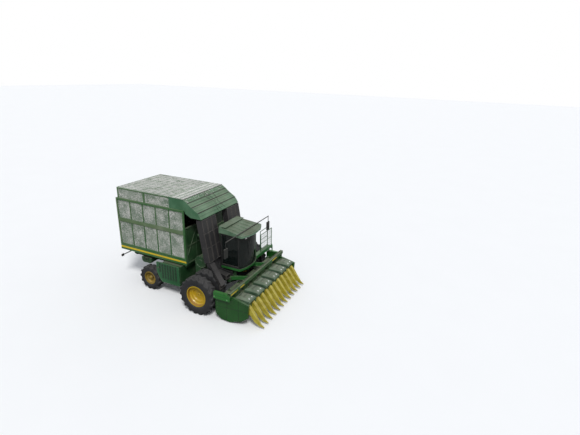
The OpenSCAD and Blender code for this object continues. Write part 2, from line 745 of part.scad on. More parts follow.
module row_unit(y) {
    // Cabinet with a throat along the row, and drum bays open to the throat
    translate([0, y, 0]) difference() {
        side_plate([[unit_rear_x, unit_top_z - 120], [unit_rear_x, unit_low_z + 210],
            [unit_rear_x + 260, unit_low_z],
            [unit_front_x - 330, unit_low_z], [unit_front_x, unit_low_z + 330], [unit_front_x, unit_top_z - 60],
            [unit_front_x - 60, unit_top_z], [unit_rear_x + 120, unit_top_z]], -unit_w / 2, unit_w / 2);
        block(unit_rear_x - 10, unit_front_x + 10, -throat_w / 2, throat_w / 2, unit_low_z - 10, throat_top_z);
        for (x = drum_xs)
            block(x - drum_r - 15, x + drum_r + 15, throat_w / 2 - 1, throat_w / 2 + 2 * drum_r + 15,
                unit_low_z + 120, throat_top_z - 20);
    }
}

drum_xs = [unit_rear_x + 330, unit_front_x - 420];

module row_units_right() color([0.13, 0.33, 0.15]) place() {
    for (y = unit_ys) if (y < 0) row_unit(y);
}

module row_units_left() color([0.13, 0.33, 0.15]) place() {
    for (y = unit_ys) if (y > 0) row_unit(y);
}

module picking_drums() color([0.45, 0.45, 0.44]) place() {
    for (y = unit_ys, x = drum_xs) {
        low = unit_low_z + 120 + seat;
        high = throat_top_z - 20 - seat;
        cy = y + throat_w / 2 + drum_r + 5;
        bar_z(drum_r * 0.55, x, cy, low, high);
        for (z = [low, high - 16]) bar_z(drum_r, x, cy, z, z + 16);
        for (a = [0:45:315])
            bar_z(14, x + (drum_r - 18) * cos(a), cy + (drum_r - 18) * sin(a), low, high);
    }
}

module unit_caps() color([0.16, 0.30, 0.18]) place() {
    for (y = unit_ys) translate([0, y, 0]) intersection() {
        side_plate([[cap_rear_x, unit_top_z + seat], [cap_front_x - 90, unit_top_z + seat],
            [cap_front_x, unit_top_z + 60], [cap_front_x - 30, cap_top_z - 90],
            [cap_front_x - 170, cap_top_z - 10],
            [cap_rear_x + 200, cap_top_z], [cap_rear_x + 40, cap_top_z - 60]], -cap_w / 2, cap_w / 2);
        front_plate([[-cap_w / 2, unit_top_z], [cap_w / 2, unit_top_z], [cap_w / 2, cap_top_z - 90],
            [cap_w / 2 - 90, cap_top_z], [-cap_w / 2 + 90, cap_top_z], [-cap_w / 2, cap_top_z - 90]],
            cap_rear_x - 10, cap_front_x + 10);
    }
}

module stalk_lifters() color([0.90, 0.78, 0.10]) place() {
    // A lifter is what its side view leaves in common with its tapering plan view
    x0 = unit_front_x + seat;
    top = [[x0, 985], [x0 + 60, 1000], [x0 + 190, 850], [x0 + 400, 560], [lifter_tip_x - 170, 260],
        [lifter_tip_x, lifter_tip_z + 30]];
    under = [[lifter_tip_x - 5, lifter_tip_z], [lifter_tip_x - 230, 150], [x0 + 340, 300], [x0 + 160, 560],
        [x0 + 50, 640], [x0, 640]];
    half = lifter_root_w / 2;
    for (y = unit_ys, s = [-1, 1]) translate([0, y + s * row_gap / 4, 0]) intersection() {
        side_plate(concat(top, under), -half, half);
        linear_extrude(2000) polygon([[x0, -half], [x0 + 260, -half], [lifter_tip_x - 200, -lifter_t / 2],
            [lifter_tip_x, -12], [lifter_tip_x, 12], [lifter_tip_x - 200, lifter_t / 2], [x0 + 260, half],
            [x0, half]]);
    }
}

module end_shields() color([0.08, 0.40, 0.12]) place() {
    both_sides() side_plate([[unit_rear_x - 10, 1070], [unit_rear_x - 10, 320], [1240, 90], [1650, 50],
        [2300, 290], [2560, 500], [2610, 1120], [1800, 1300], [1580, 1300]],
        (row_count - 1) / 2 * row_gap + unit_w / 2 + seat, shield_y);
    // Covers of the drives, round the toolbar's ends
    both_sides() difference() {
        side_plate([[950, 1180], [990, 1130], [1700, 1130], [1790, 1200], [1790, 1400], [1700, 1440],
            [1100, 1400], [950, 1300]], shield_y - 1, toolbar_len / 2 - 10);
        block(toolbar_x - toolbar_w / 2 - seat, toolbar_x + toolbar_w / 2 + seat, 0, 3000,
            toolbar_z - toolbar_w / 2 - seat, toolbar_z + toolbar_w / 2 + seat);
    }
}

// Header lift cylinders: barrel pinned under the rail, open rod eye beside the lift arm
lift_base = [450, 830];
lift_eye = [1250, 1300];
lift_run = lift_eye - lift_base;
lift_dir = lift_run / norm(lift_run);
lift_cyl_y = rail_y + rail_w / 2 + 39;
lift_pin_r = 20;

module header_barrels() color([0.10, 0.12, 0.10]) place() {
    both_sides() difference() {
        union() {
            slant_bar(34, lift_base + lift_dir * 30, lift_base + lift_dir * 620, lift_cyl_y);
            bar_y(42, lift_base[0], lift_base[1], lift_cyl_y - 36, lift_cyl_y + 34);
        }
        bar_y(lift_pin_r, lift_base[0], lift_base[1], 0, 3000);
        slant_bar(20, lift_base + lift_dir * 90, lift_base + lift_dir * 700, lift_cyl_y);
    }
}

module header_rods() color([0.75, 0.75, 0.75]) place() {
    both_sides() {
        slant_bar(20 - run, lift_base + lift_dir * 150, lift_eye - lift_dir * 30, lift_cyl_y);
        difference() {
            bar_y(34, lift_eye[0], lift_eye[1], lift_cyl_y - 20, lift_cyl_y + 20);
            bar_y(lift_pin_r, lift_eye[0], lift_eye[1], 0, 3000);
        }
    }
}

// Basket

post_w = 90;
bay = (basket_front_x - basket_rear_x - 2 * post_w) / bay_count;
screen_t = 10;
end_rib_t = 24;

module basket_floor() color([0.10, 0.30, 0.12]) place() {
    inner = basket_half - basket_wall - seat;
    block(basket_rear_x + basket_wall + seat, basket_front_x - basket_wall - seat, -inner, inner,
        basket_low_z + 60, basket_low_z + 72);
    for (x = [basket_rear_x + 300:600:basket_front_x - 300])
        block(x - 40, x + 40, -inner, inner, basket_low_z, basket_low_z + 60);
    // Hinge ears that reach out under the left side, with their pins
    for (x = pedestal_xs) {
        block(x - 23, x + 23, hinge_y - 320, hinge_y, hinge_z - 45, basket_low_z - seat);
        block(x - 23, x + 23, hinge_y - 320, inner, basket_low_z - 1, basket_low_z + 60);
        bar_x(45, hinge_y, hinge_z, x - 23, x + 23);
        bar_x(30 - run, hinge_y, hinge_z, x - 68, x + 68);
    }
}

rail_h = 180;
side_x0 = basket_rear_x + post_w;
side_x1 = basket_front_x - post_w;
lower_z = [basket_low_z + beam_h, mid_rail_z - rail_h / 2];
upper_z = [mid_rail_z + rail_h / 2, basket_top_z - rail_h / 2];
bay_post_w = 50;

module bay_posts(z) {
    // Posts between the bays from one rail to the next
    for (i = [1:bay_count - 1])
        block(side_x0 + i * bay - bay_post_w / 2, side_x0 + i * bay + bay_post_w / 2,
            basket_half - basket_wall + 10, basket_half - 6, z[0] + seat, z[1] - seat);
}

module basket_side() {
    // One long side: corner posts, bottom beam, mid rail, top rail and lower bay posts
    y0 = basket_half - basket_wall;
    for (x = [basket_rear_x, side_x1])
        block(x, x + post_w, y0, basket_half, basket_low_z, basket_top_z);
    for (z = [[basket_low_z, lower_z[0]], [lower_z[1], upper_z[0]], [upper_z[1], basket_top_z]])
        block(side_x0 + seat, side_x1 - seat, y0, basket_half, z[0], z[1]);
    bay_posts(lower_z);
}

module screen_row(z) {
    // The screen panels between the bay posts
    for (i = [0:bay_count - 1])
        block(side_x0 + i * bay + (i == 0 ? 0 : bay_post_w / 2) + seat,
            side_x0 + (i + 1) * bay - (i == bay_count - 1 ? 0 : bay_post_w / 2) - seat,
            basket_half - basket_wall + 14, basket_half - basket_wall + 14 + screen_t, z[0] + seat, z[1] - seat);
}

unload_y = basket_half + 12;
unload_z = mid_rail_z + 94;
unload_xs = [basket_rear_x + 500:760:basket_front_x - 400];

module basket_sides() color([0.12, 0.42, 0.16]) place() {
    right_only() {
        basket_side();
        bay_posts(upper_z);
    }
    // The left side is open above the mid rail for the unloading door, hung on lugs with pins
    basket_side();
    for (x = unload_xs) {
        bar_x(9, unload_y, unload_z, x, x + 70);
        bar_x(5 - run, unload_y, unload_z, x - 70, x + 10);
        block(x, x + 70, basket_half - 2, unload_y + 9, mid_rail_z + 50, unload_z);
    }
}

module basket_screens() color([0.62, 0.64, 0.62]) place() {
    both_sides() screen_row(lower_z);
    right_only() screen_row(upper_z);
}

module basket_ends() color([0.10, 0.30, 0.12]) place() {
    y = basket_half - basket_wall - seat;
    // Front wall, open above for the hood
    block(basket_front_x - basket_wall, basket_front_x, -y, y, basket_low_z, 3560);
    // Rear wall with its ribs
    block(basket_rear_x, basket_rear_x + basket_wall, -y, y, basket_low_z, basket_top_z);
    for (z = [basket_low_z + 20, basket_low_z + 400, basket_low_z + 780, mid_rail_z - 60, basket_top_z - 80])
        block(basket_rear_x - end_rib_t, basket_rear_x + 1, -y + 20, y - 20, z, z + 60);
    for (i = [-2:2])
        block(basket_rear_x - end_rib_t + 4, basket_rear_x + 1, i * (y - 60) / 2 - 30, i * (y - 60) / 2 + 30,
            basket_low_z + 30, basket_top_z - 30);
    // Bosses beside the rod eyes of the tipping cylinders
    bar_x(60, tip_eye[0], tip_eye[1], basket_front_x - 1, tip_xs[1] - 30 - free);
    bar_x(60, tip_eye[0], tip_eye[1], tip_xs[0] + 30 + free, basket_rear_x + 1);
}

module unload_door() color([0.12, 0.42, 0.16]) place() {
    x0 = basket_rear_x + post_w + 8;
    x1 = basket_front_x - post_w - 8;
    z0 = mid_rail_z + 90 + 8;
    z1 = basket_top_z - 90 - 8;
    y0 = basket_half - basket_wall + 8;
    difference() {
        block(x0, x1, y0, basket_half - 4, z0, z1);
        for (i = [0:bay_count - 1])
            block(x0 + 50 + i * (x1 - x0 - 50) / bay_count, x0 + (i + 1) * (x1 - x0 - 50) / bay_count,
                y0 - 1, basket_half, z0 + 60, z1 - 60);
    }
    block(x0 + 40, x1 - 40, y0 + 8, y0 + 8 + screen_t, z0 + 50, z1 - 50);
    for (x = unload_xs) difference() {
        union() {
            bar_x(9, unload_y, unload_z, x - 70 - run, x - run);
            block(x - 70 - run, x - run, basket_half - 8, unload_y + 9, unload_z, unload_z + 46);
        }
        bar_x(5, unload_y, unload_z, x - 80, x + 10);
    }
}

// Tipping cylinders before and behind the basket: barrel pinned beside the left rail,
// open rod eye beside a boss on the end wall
tip_base = [740, 1175];
tip_eye = [200, 2500];
tip_run = tip_eye - tip_base;
tip_dir = tip_run / norm(tip_run);
tip_pin_r = 26;

module basket_barrels() color([0.10, 0.12, 0.10]) place() {
    for (x = tip_xs) difference() {
        union() {
            slant_bar_x(58, tip_base + tip_dir * 50, tip_base + tip_dir * 1130, x);
            bar_x(60, tip_base[0], tip_base[1], x - 63, x + 63);
        }
        slant_bar_x(36, tip_base + tip_dir * 150, tip_base + tip_dir * 1200, x);
        bar_x(tip_pin_r, tip_base[0], tip_base[1], x - 100, x + 100);
    }
}

module basket_rods() color([0.75, 0.75, 0.75]) place() {
    for (x = tip_xs) {
        slant_bar_x(36 - run, tip_base + tip_dir * 230, tip_eye - tip_dir * 45, x);
        difference() {
            bar_x(50, tip_eye[0], tip_eye[1], x - 30, x + 30);
            bar_x(tip_pin_r, tip_eye[0], tip_eye[1], x - 100, x + 100);
        }
    }
}

// Telescoping top, with the ribbed hood over the duct mouths
top_half = basket_half - basket_wall - top_gap;
top_rear_x = basket_rear_x + basket_wall + top_gap;
top_low_z = basket_top_z - 60;

module top_frame() color([0.12, 0.42, 0.16]) place() {
    y0 = top_half - top_wall;
    // Rails round the top and skirt, with corner and middle posts
    both_sides() {
        block(top_rear_x, hood_rear_x, y0, top_half, roof_z - 60, roof_z - 10);
        block(top_rear_x, hood_rear_x, y0, top_half, top_low_z, top_low_z + 60);
        block(top_rear_x, top_rear_x + 80, y0, top_half, top_low_z + 60, roof_z - 60);
        block(-3520, -3420, y0, top_half, top_low_z + 60, roof_z - 60);
        // Pads that slide against the fixed sides
        for (x = [top_rear_x + 200, -3510, hood_rear_x - 300])
            block(x, x + 80, top_half - 1, top_half + top_gap - seat, top_low_z, top_low_z + 50);
    }
    block(top_rear_x, top_rear_x + top_wall, -y0, y0, top_low_z, roof_z - 10);
    // Roof bows
    for (x = [top_rear_x + top_wall:(hood_rear_x - top_rear_x - top_wall - 60) / 5:hood_rear_x - 60])
        block(x, x + 60, -y0, y0, roof_z - 60, roof_z - 10);
}

module top_screens() color([0.62, 0.64, 0.62]) place() {
    y0 = top_half - top_wall;
    both_sides() for (x = [[top_rear_x + 80 + seat, -3520 - seat], [-3420 + seat, hood_rear_x - seat]])
        block(x[0], x[1], y0 + 10, y0 + 20, top_low_z + 60 + seat, roof_z - 60 - seat);
    block(top_rear_x, hood_rear_x - seat, -top_half, top_half, roof_z - 10 + seat, roof_z);
}

// Side view of the hood, down from the roof to its front lip, and its open underside
hood_t = 22;
lip_z = basket_top_z - 260;
hood_front_x = -250;
hood_line = [[hood_rear_x, roof_z], [hood_front_x - 950, roof_z], [hood_front_x - 720, roof_z - top_rise * 0.29],
    [hood_front_x - 510, roof_z - top_rise * 0.61], [hood_front_x - 180, basket_top_z], [hood_front_x, lip_z]];
hood_rib_h = 12;
hood_ribs = [[0, 0.12], [0, 0.45], [0, 0.78], [1, 0.5], [2, 0.5], [3, 0.25], [3, 0.7], [4, 0.5]];

module hood() color([0.22, 0.45, 0.28]) place() {
    low = [[hood_front_x, lip_z - 25], [hood_front_x - 570, lip_z - 25], [hood_front_x - 870, basket_top_z - 120]];
    shell = concat(hood_line, low, [[hood_front_x - 870, basket_top_z - 40], [hood_rear_x, basket_top_z - 40]]);
    // The roof line moved in by the wall, then the same open underside
    inside = edge(hood_line, -hood_t);
    mouth = [[hood_front_x - 25, lip_z - 50], [hood_front_x - 580, lip_z - 50], [hood_front_x - 875, basket_top_z - 135],
        [hood_front_x - 890, basket_top_z - 50], [hood_rear_x - 5, basket_top_z - 50], [hood_rear_x - 5, roof_z - hood_t]];
    difference() {
        side_plate(shell, -top_half, top_half);
        side_plate(concat(inside, mouth), -top_half + hood_t, top_half - hood_t);
    }
    // Raised ribs across the panels
    for (r = hood_ribs) {
        a = hood_line[r[0]];
        along = unit(hood_line[r[0] + 1] - a);
        up = across(along);
        c = a + (hood_line[r[0] + 1] - a) * r[1] - up;
        side_plate([c - along * 30, c - along * 22 + up * (hood_rib_h + 1), c + along * 22 + up * (hood_rib_h + 1),
            c + along * 30], -top_half + 40, top_half - 40);
    }
}

module duct_sleeves() color([0.14, 0.14, 0.16]) place() {
    both_sides() for (i = [-1, 0, 1])
        upper_duct_ring(duct_mid_y + i * duct_pitch, duct_w, 0, sleeve_len, duct_depth);
}

// Service doors

module service_door_lugs() {
    for (z = side_hinge_zs) translate([side_hinge_x, side_hinge_y, z - 60 - run]) difference() {
        union() {
            cylinder(r = 8, h = 60);
            translate([-50, -15, 0]) cube([50, 19, 60]);
        }
        translate([0, 0, -1]) cylinder(r = 4, h = 62);
    }
}

module service_door() {
    y0 = door_y - 40;
    difference() {
        side_plate([[door_front_x, door_low_z], [door_front_x, door_top_z], [door_rear_x, door_top_z],
            [door_rear_x, 1150], [door_rear_x + 190, 790], [door_rear_x + 300, door_low_z]], y0, door_y);
        side_plate([[door_front_x - 30, door_low_z + 30], [door_front_x - 30, door_top_z - 30],
            [door_rear_x + 30, door_top_z - 30], [door_rear_x + 30, 1170], [door_rear_x + 215, 810],
            [door_rear_x + 310, door_low_z + 30]], y0 - 1, door_y - 12);
        // Rows of slanting slots
        for (c = [0:6], r = [0:4])
            translate([door_rear_x + 190 + c * 155, door_y + 1, door_top_z - 130 - r * 150])
                rotate([0, -18, 0]) rotate([90, 0, 0])
                if (r < 3 || c > 0) {
                    translate([-22, -50, 0]) cube([44, 100, 20]);
                    for (z = [-50, 50]) translate([0, z, 0]) cylinder(r = 22, h = 20);
                }
    }
    service_door_lugs();
}

module service_door_right() color([0.12, 0.42, 0.22]) place() right_only() service_door();
module service_door_left() color([0.12, 0.42, 0.22]) place() left_only() service_door();

// Steering

module knuckle() {
    difference() {
        union() {
            // Yoke round the end of the beam
            for (z = [[rear_r - 130, rear_r - 60 - run], [rear_r + 60 + run, rear_r + 130]]) {
                bar_z(80, rear_x, kingpin_y, z[0], z[1]);
                block(rear_x - 80, rear_x + 80, kingpin_y, kingpin_y + 120, z[0], z[1]);
            }
            block(rear_x - 80, rear_x + 80, kingpin_y + 92, kingpin_y + 120, rear_r - 130, rear_r + 130);
            bar_y(rear_spindle_r, rear_x, rear_r, kingpin_y + 100, rear_y + 90);
            // Steering arm reaching back
            block(rear_x - steer_arm, rear_x - 60, kingpin_y - 30, kingpin_y + 30,
                rear_r - 130, rear_r - 100);
            bar_z(30, rear_x - steer_arm, kingpin_y, rear_r - 130, rear_r - 100);
        }
        bar_z(12, rear_x - steer_arm, kingpin_y, rear_r - 200, rear_r - 50);
    }
    bar_z(kingpin_r - run, rear_x, kingpin_y, rear_r - 130, rear_r + 130);
}

module knuckle_right() color([0.12, 0.14, 0.12]) place() right_only() knuckle();
module knuckle_left() color([0.12, 0.14, 0.12]) place() left_only() knuckle();

module tie_rod() color([0.15, 0.16, 0.15]) place() {
    y = kingpin_y;
    bar_y(20, rear_x - steer_arm, rear_r - 75, -y + 20, y - 20);
    for (s = [-1, 1]) {
        bar_z(26, rear_x - steer_arm, s * y, rear_r - 100 + seat, rear_r - 50);
        bar_z(12 - run, rear_x - steer_arm, s * y, rear_r - 128, rear_r - 99);
    }
}

// Wheels

module turned(points, y) {
    // Points are (radius, offset along Y) of a body turned about the wheel's axle
    translate([0, y, 0]) rotate([-90, 0, 0]) rotate_extrude($fn = 96) polygon(points);
}

// Share of a lug's pitch where its foot starts, its top starts and ends, and its foot ends
lug_shares = [0.25, 0.33, 0.67, 0.75];

// A tyre with slanting lugs, as rings of points about the axle. Each half has its rings from
// the middle out: foot radius, lug radius (0 on a ring without lugs), offset, turn in pitches
module tyre(r, w, rim_r, rim_w, count) {
    hw = w / 2;
    hr = rim_w / 2 - seat;
    low = r - lug_h;
    bead = (rim_r - 24) / cos(90 / count);
    rings = [[low, r, 26, 0.36], [low - 8, r, hw - 48, 0], [r - 2.6 * lug_h, 0, hw, -0.12],
        [rim_r + 5, 0, hr, 0], [bead, 0, hr, 0]];
    // A point of a ring, at a share of the turn in pitches, the first top edge lowest
    function spot(radius, y, share) = let (a = (share - lug_shares[1]) * 360 / count)
        [radius * sin(a), y, -radius * cos(a)];
    // Rings without lugs have two points a pitch, the others four
    function ring_points(g, side) = g[1] == 0
        ? [for (k = [0:2 * count - 1]) spot(g[0], side * g[2], k / 2 + lug_shares[0] + g[3])]
        : [for (k = [0:count - 1], c = [0:3])
            spot(c % 3 == 0 ? g[0] : g[1], side * g[2], k + lug_shares[c] + g[3] + (side < 0 ? 0.5 : 0))];
    middle = ring_points([low, 0, 0, rings[0][3]], 1);
    points = concat(middle, [for (side = [1, -1], g = rings) each ring_points(g, side)]);
    // First point of a ring, and the point that stands at a column of a pitch on one side
    function start(n, side) = n < 0 ? 0 : 2 * count + (side < 0 ? 14 * count : 0) + [0, 4, 8, 10, 12][n] * count;
    function pick(n, side, k, c) = n == 0 || n == 1 ? start(n, side) + (4 * k + c) % (4 * count)
        : start(n, side) + (2 * k + (side < 0 ? 1 : 0) + floor(c / 2)) % (2 * count);
    function corner(n, side, k, c) = c < 4 ? pick(n, side, k, c) : pick(n, side, k + 1, 0);
    function fan(a, b, c, d) = [for (t = [[a, b, c], [a, c, d]])
        if (t[0] != t[1] && t[1] != t[2] && t[0] != t[2]) t];
    function sided(t, side) = side > 0 ? t : [t[2], t[1], t[0]];
    walls = [for (side = [1, -1], n = [0:4], k = [0:count - 1], c = [0:3])
        each [for (t = fan(corner(n - 1, side, k, c), corner(n - 1, side, k, c + 1),
            corner(n, side, k, c + 1), corner(n, side, k, c))) sided(t, side)]];
    bore = [for (m = [0:2 * count - 1]) let (a = start(4, 1), b = start(4, -1), e = (m + 1) % (2 * count))
        each [[a + m, a + e, b + e], [a + m, b + e, b + m]]];
    polyhedron(points, concat(walls, bore));
}

// A rim: barrel with two flanges; disc_y is the place of its disc, dish its depth to the hub
module rim(rim_r, rim_w, disc_y, dish, hub_r) {
    hr = rim_w / 2;
    barrel = rim_r - 24 - seat;
    turned([[barrel - 14, -hr - 14], [rim_r, -hr - 14], [rim_r, -hr], [barrel, -hr], [barrel, hr],
        [rim_r, hr], [rim_r, hr + 14], [barrel - 14, hr + 14]], 0);
    turned([[hub_r, disc_y - dish], [rim_r * 0.55, disc_y - dish], [rim_r * 0.62, disc_y - dish * 0.45],
        [rim_r * 0.8, disc_y - dish * 0.35], [rim_r * 0.86, disc_y], [barrel - 13, disc_y + 10],
        [barrel - 13, disc_y - 10], [rim_r * 0.88, disc_y - 20], [rim_r * 0.82, disc_y - dish * 0.35 - 20],
        [rim_r * 0.64, disc_y - dish * 0.45 - 20], [rim_r * 0.57, disc_y - dish - 20],
        [hub_r, disc_y - dish - 20]], 0);
}

module front_rims() {
    translate([0, front_inner_y, front_r]) {
        rim(front_rim_r, front_rim_w, 0, 60, spindle_r + 40);
        // Hub that turns on the spindle
        turned([[spindle_r + run, -front_w / 2 + 65], [spindle_r + 90, -front_w / 2 + 65],
            [spindle_r + 90, 130], [spindle_r + run, 130]], 0);
    }
    translate([0, front_outer_y, front_r]) {
        rim(front_rim_r, front_rim_w, 70, 110, 38);
        turned([[38, -62], [170, -62], [170, -42], [38, -42]], 0);
    }
    // Drum between the two discs
    d = front_outer_y - front_inner_y;
    translate([0, front_inner_y, front_r])
        turned([[210, -60], [250, -60], [250, d - 40], [210, d - 40]], 0);
}

module front_tyres() {
    for (y = [front_inner_y, front_outer_y])
        translate([0, y, front_r]) tyre(front_r, front_w, front_rim_r, front_rim_w, front_lugs);
}

module rear_rim() {
    translate([rear_x, rear_y, rear_r]) {
        difference() {
            rim(rear_rim_r, rear_rim_w, 60, 90, rear_spindle_r + 20);
            for (a = [0:45:315])
                rotate([0, a, 0]) bar_y(24, rear_rim_r * 0.7, 0, -100, 100);
        }
        turned([[rear_spindle_r + run, -110], [rear_spindle_r + 45, -110], [rear_spindle_r + 45, 95],
            [rear_spindle_r + run, 95]], 0);
        turned([[0, 96], [70, 96], [70, 110], [0, 125]], 0);
        turned([[rear_spindle_r + 40, 88], [70, 88], [70, 97], [rear_spindle_r + 40, 97]], 0);
    }
}

module rear_tyre() {
    translate([rear_x, rear_y, rear_r]) tyre(rear_r, rear_w, rear_rim_r, rear_rim_w, rear_lugs);
}

module front_rims_right() color([0.90, 0.66, 0.05]) place() right_only() front_rims();
module front_tyres_right() color([0.10, 0.10, 0.11]) place() right_only() front_tyres();
module front_rims_left() color([0.90, 0.66, 0.05]) place() left_only() front_rims();
module front_tyres_left() color([0.10, 0.10, 0.11]) place() left_only() front_tyres();
module rear_rim_right() color([0.90, 0.66, 0.05]) place() right_only() rear_rim();
module rear_tyre_right() color([0.10, 0.10, 0.11]) place() right_only() rear_tyre();
module rear_rim_left() color([0.90, 0.66, 0.05]) place() left_only() rear_rim();
module rear_tyre_left() color([0.10, 0.10, 0.11]) place() left_only() rear_tyre();

main_frame();
front_axle();
rear_axle();
engine_block();
engine_housing();
side_tanks();
duct_supports();
lower_ducts();
fan_housings();
exhaust_pipe();
platform();
handrails();
cab_floor();
cab_frame();
cab_glass();
cab_roof();
lamps();
mirrors();
cab_fittings();
seat_cushion();
toolbar();
lift_arms();
row_units_right();
row_units_left();
picking_drums();
unit_caps();
stalk_lifters();
end_shields();
header_barrels();
header_rods();
basket_floor();
basket_sides();
basket_screens();
basket_ends();
unload_door();
basket_barrels();
basket_rods();
top_frame();
top_screens();
hood();
duct_sleeves();
cab_door();
service_door_right();
service_door_left();
knuckle_right();
knuckle_left();
tie_rod();
front_rims_right();
front_tyres_right();
front_rims_left();
front_tyres_left();
rear_rim_right();
rear_tyre_right();
rear_rim_left();
rear_tyre_left();
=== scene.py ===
# Looks for the six row cotton harvester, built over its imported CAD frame.
import json
import math
import random
import bpy
import bmesh
from mathutils import Matrix, Vector


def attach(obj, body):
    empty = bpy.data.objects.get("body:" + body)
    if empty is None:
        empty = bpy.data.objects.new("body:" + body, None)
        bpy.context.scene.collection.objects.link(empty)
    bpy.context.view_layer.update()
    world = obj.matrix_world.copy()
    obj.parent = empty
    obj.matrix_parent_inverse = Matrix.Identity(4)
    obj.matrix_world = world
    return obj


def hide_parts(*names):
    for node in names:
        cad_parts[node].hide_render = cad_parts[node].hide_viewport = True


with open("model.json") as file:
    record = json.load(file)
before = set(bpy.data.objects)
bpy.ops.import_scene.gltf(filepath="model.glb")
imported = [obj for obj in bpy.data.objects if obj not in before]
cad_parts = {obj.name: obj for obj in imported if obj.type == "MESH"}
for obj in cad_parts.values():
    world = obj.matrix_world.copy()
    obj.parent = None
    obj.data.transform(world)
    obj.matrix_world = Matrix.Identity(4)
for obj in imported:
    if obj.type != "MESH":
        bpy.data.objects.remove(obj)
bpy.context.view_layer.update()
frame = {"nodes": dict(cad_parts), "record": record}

bpy.context.scene.view_settings.view_transform = "Standard"
random.seed(11)
nodes = frame["nodes"]


# Shader helpers

def newGroup(name, inputs, outputs):
    tree = bpy.data.node_groups.new(name, "ShaderNodeTree")
    for label, kind, value in inputs:
        socket = tree.interface.new_socket(name=label, in_out="INPUT", socket_type=kind)
        socket.default_value = value
    for label, kind in outputs:
        tree.interface.new_socket(name=label, in_out="OUTPUT", socket_type=kind)
    return tree, tree.nodes.new("NodeGroupInput"), tree.nodes.new("NodeGroupOutput")


# A socket takes a plain value, or a link from another socket
def feed(tree, socket, value):
    if isinstance(value, (int, float, tuple, list)):
        socket.default_value = value
    elif value is not None:
        tree.links.new(value, socket)


def mathNode(tree, operation, a, b=None, clamp=False):
    node = tree.nodes.new("ShaderNodeMath")
    node.operation = operation
    node.use_clamp = clamp
    for socket, value in zip(node.inputs, (a, b)):
        feed(tree, socket, value)
    return node.outputs[0]


def mixColor(tree, factor, a, b):
    node = tree.nodes.new("ShaderNodeMix")
    node.data_type = "RGBA"
    for socket, value in ((node.inputs["Factor"], factor), (node.inputs[6], a), (node.inputs[7], b)):
        feed(tree, socket, value)
    return node.outputs[2]


def noiseNode(tree, coords, scale, detail=4.0, rough=0.55):
    node = tree.nodes.new("ShaderNodeTexNoise")
    tree.links.new(coords, node.inputs["Vector"])
    for label, value in (("Scale", scale), ("Detail", detail), ("Roughness", rough)):
        node.inputs[label].default_value = value
    return node.outputs["Fac"]


def stepNode(tree, value, low, high):
    node = tree.nodes.new("ShaderNodeMapRange")
    node.interpolation_type = "SMOOTHSTEP"
    tree.links.new(value, node.inputs["Value"])
    for label, number in (("From Min", low), ("From Max", high)):
        feed(tree, node.inputs[label], number)
    return node.outputs["Result"]


# Field dust and lint: lies thickest on faces that look up, with pale specks of lint
def buildDustGroup():
    tree, gin, gout = newGroup(
        "fieldDust",
        [("Color", "NodeSocketColor", (0.1, 0.3, 0.1, 1)),
         ("Dust Color", "NodeSocketColor", (0.30, 0.26, 0.21, 1)),
         ("Amount", "NodeSocketFloat", 0.35), ("Lint", "NodeSocketFloat", 0.1),
         ("Roughness", "NodeSocketFloat", 0.4)],
        [("Color", "NodeSocketColor"), ("Roughness", "NodeSocketFloat"), ("Height", "NodeSocketFloat")])
    coords = tree.nodes.new("ShaderNodeTexCoord").outputs["Object"]
    normal = tree.nodes.new("ShaderNodeNewGeometry").outputs["Normal"]
    split = tree.nodes.new("ShaderNodeSeparateXYZ")
    tree.links.new(normal, split.inputs[0])
    upward = mathNode(tree, "MAXIMUM", split.outputs["Z"], 0.0)
    broad = noiseNode(tree, coords, 1.7, 5.0)
    fine = noiseNode(tree, coords, 38.0, 3.0, 0.6)
    cover = mathNode(tree, "ADD", mathNode(tree, "MULTIPLY", upward, 0.45),
                     mathNode(tree, "MULTIPLY", broad, 0.75))
    cover = mathNode(tree, "ADD", cover, mathNode(tree, "MULTIPLY", fine, 0.25))
    cover = stepNode(tree, cover, 0.35, 1.25)
    cover = mathNode(tree, "MULTIPLY", cover, gin.outputs["Amount"], True)
    dusty = mixColor(tree, cover, gin.outputs["Color"], gin.outputs["Dust Color"])
    specks = noiseNode(tree, coords, 26.0, 6.0, 0.72)
    patch = noiseNode(tree, coords, 3.1, 3.0)
    lint = mathNode(tree, "ADD", specks, mathNode(tree, "MULTIPLY", patch, 0.35))
    lint = mathNode(tree, "ADD", lint, mathNode(tree, "MULTIPLY", gin.outputs["Lint"], 0.42))
    lint = mathNode(tree, "ADD", lint, mathNode(tree, "MULTIPLY", upward, 0.07))
    lint = stepNode(tree, lint, 0.98, 1.12)
    lint = mathNode(tree, "MULTIPLY", lint, mathNode(tree, "GREATER_THAN", gin.outputs["Lint"], 0.001))
    out = mixColor(tree, lint, dusty, (0.62, 0.61, 0.58, 1))
    tree.links.new(out, gout.inputs["Color"])
    rough = mathNode(tree, "ADD", gin.outputs["Roughness"], mathNode(tree, "MULTIPLY", cover, 0.4), True)
    tree.links.new(rough, gout.inputs["Roughness"])
    tree.links.new(mathNode(tree, "ADD", mathNode(tree, "MULTIPLY", cover, 0.3), lint), gout.inputs["Height"])
    return tree


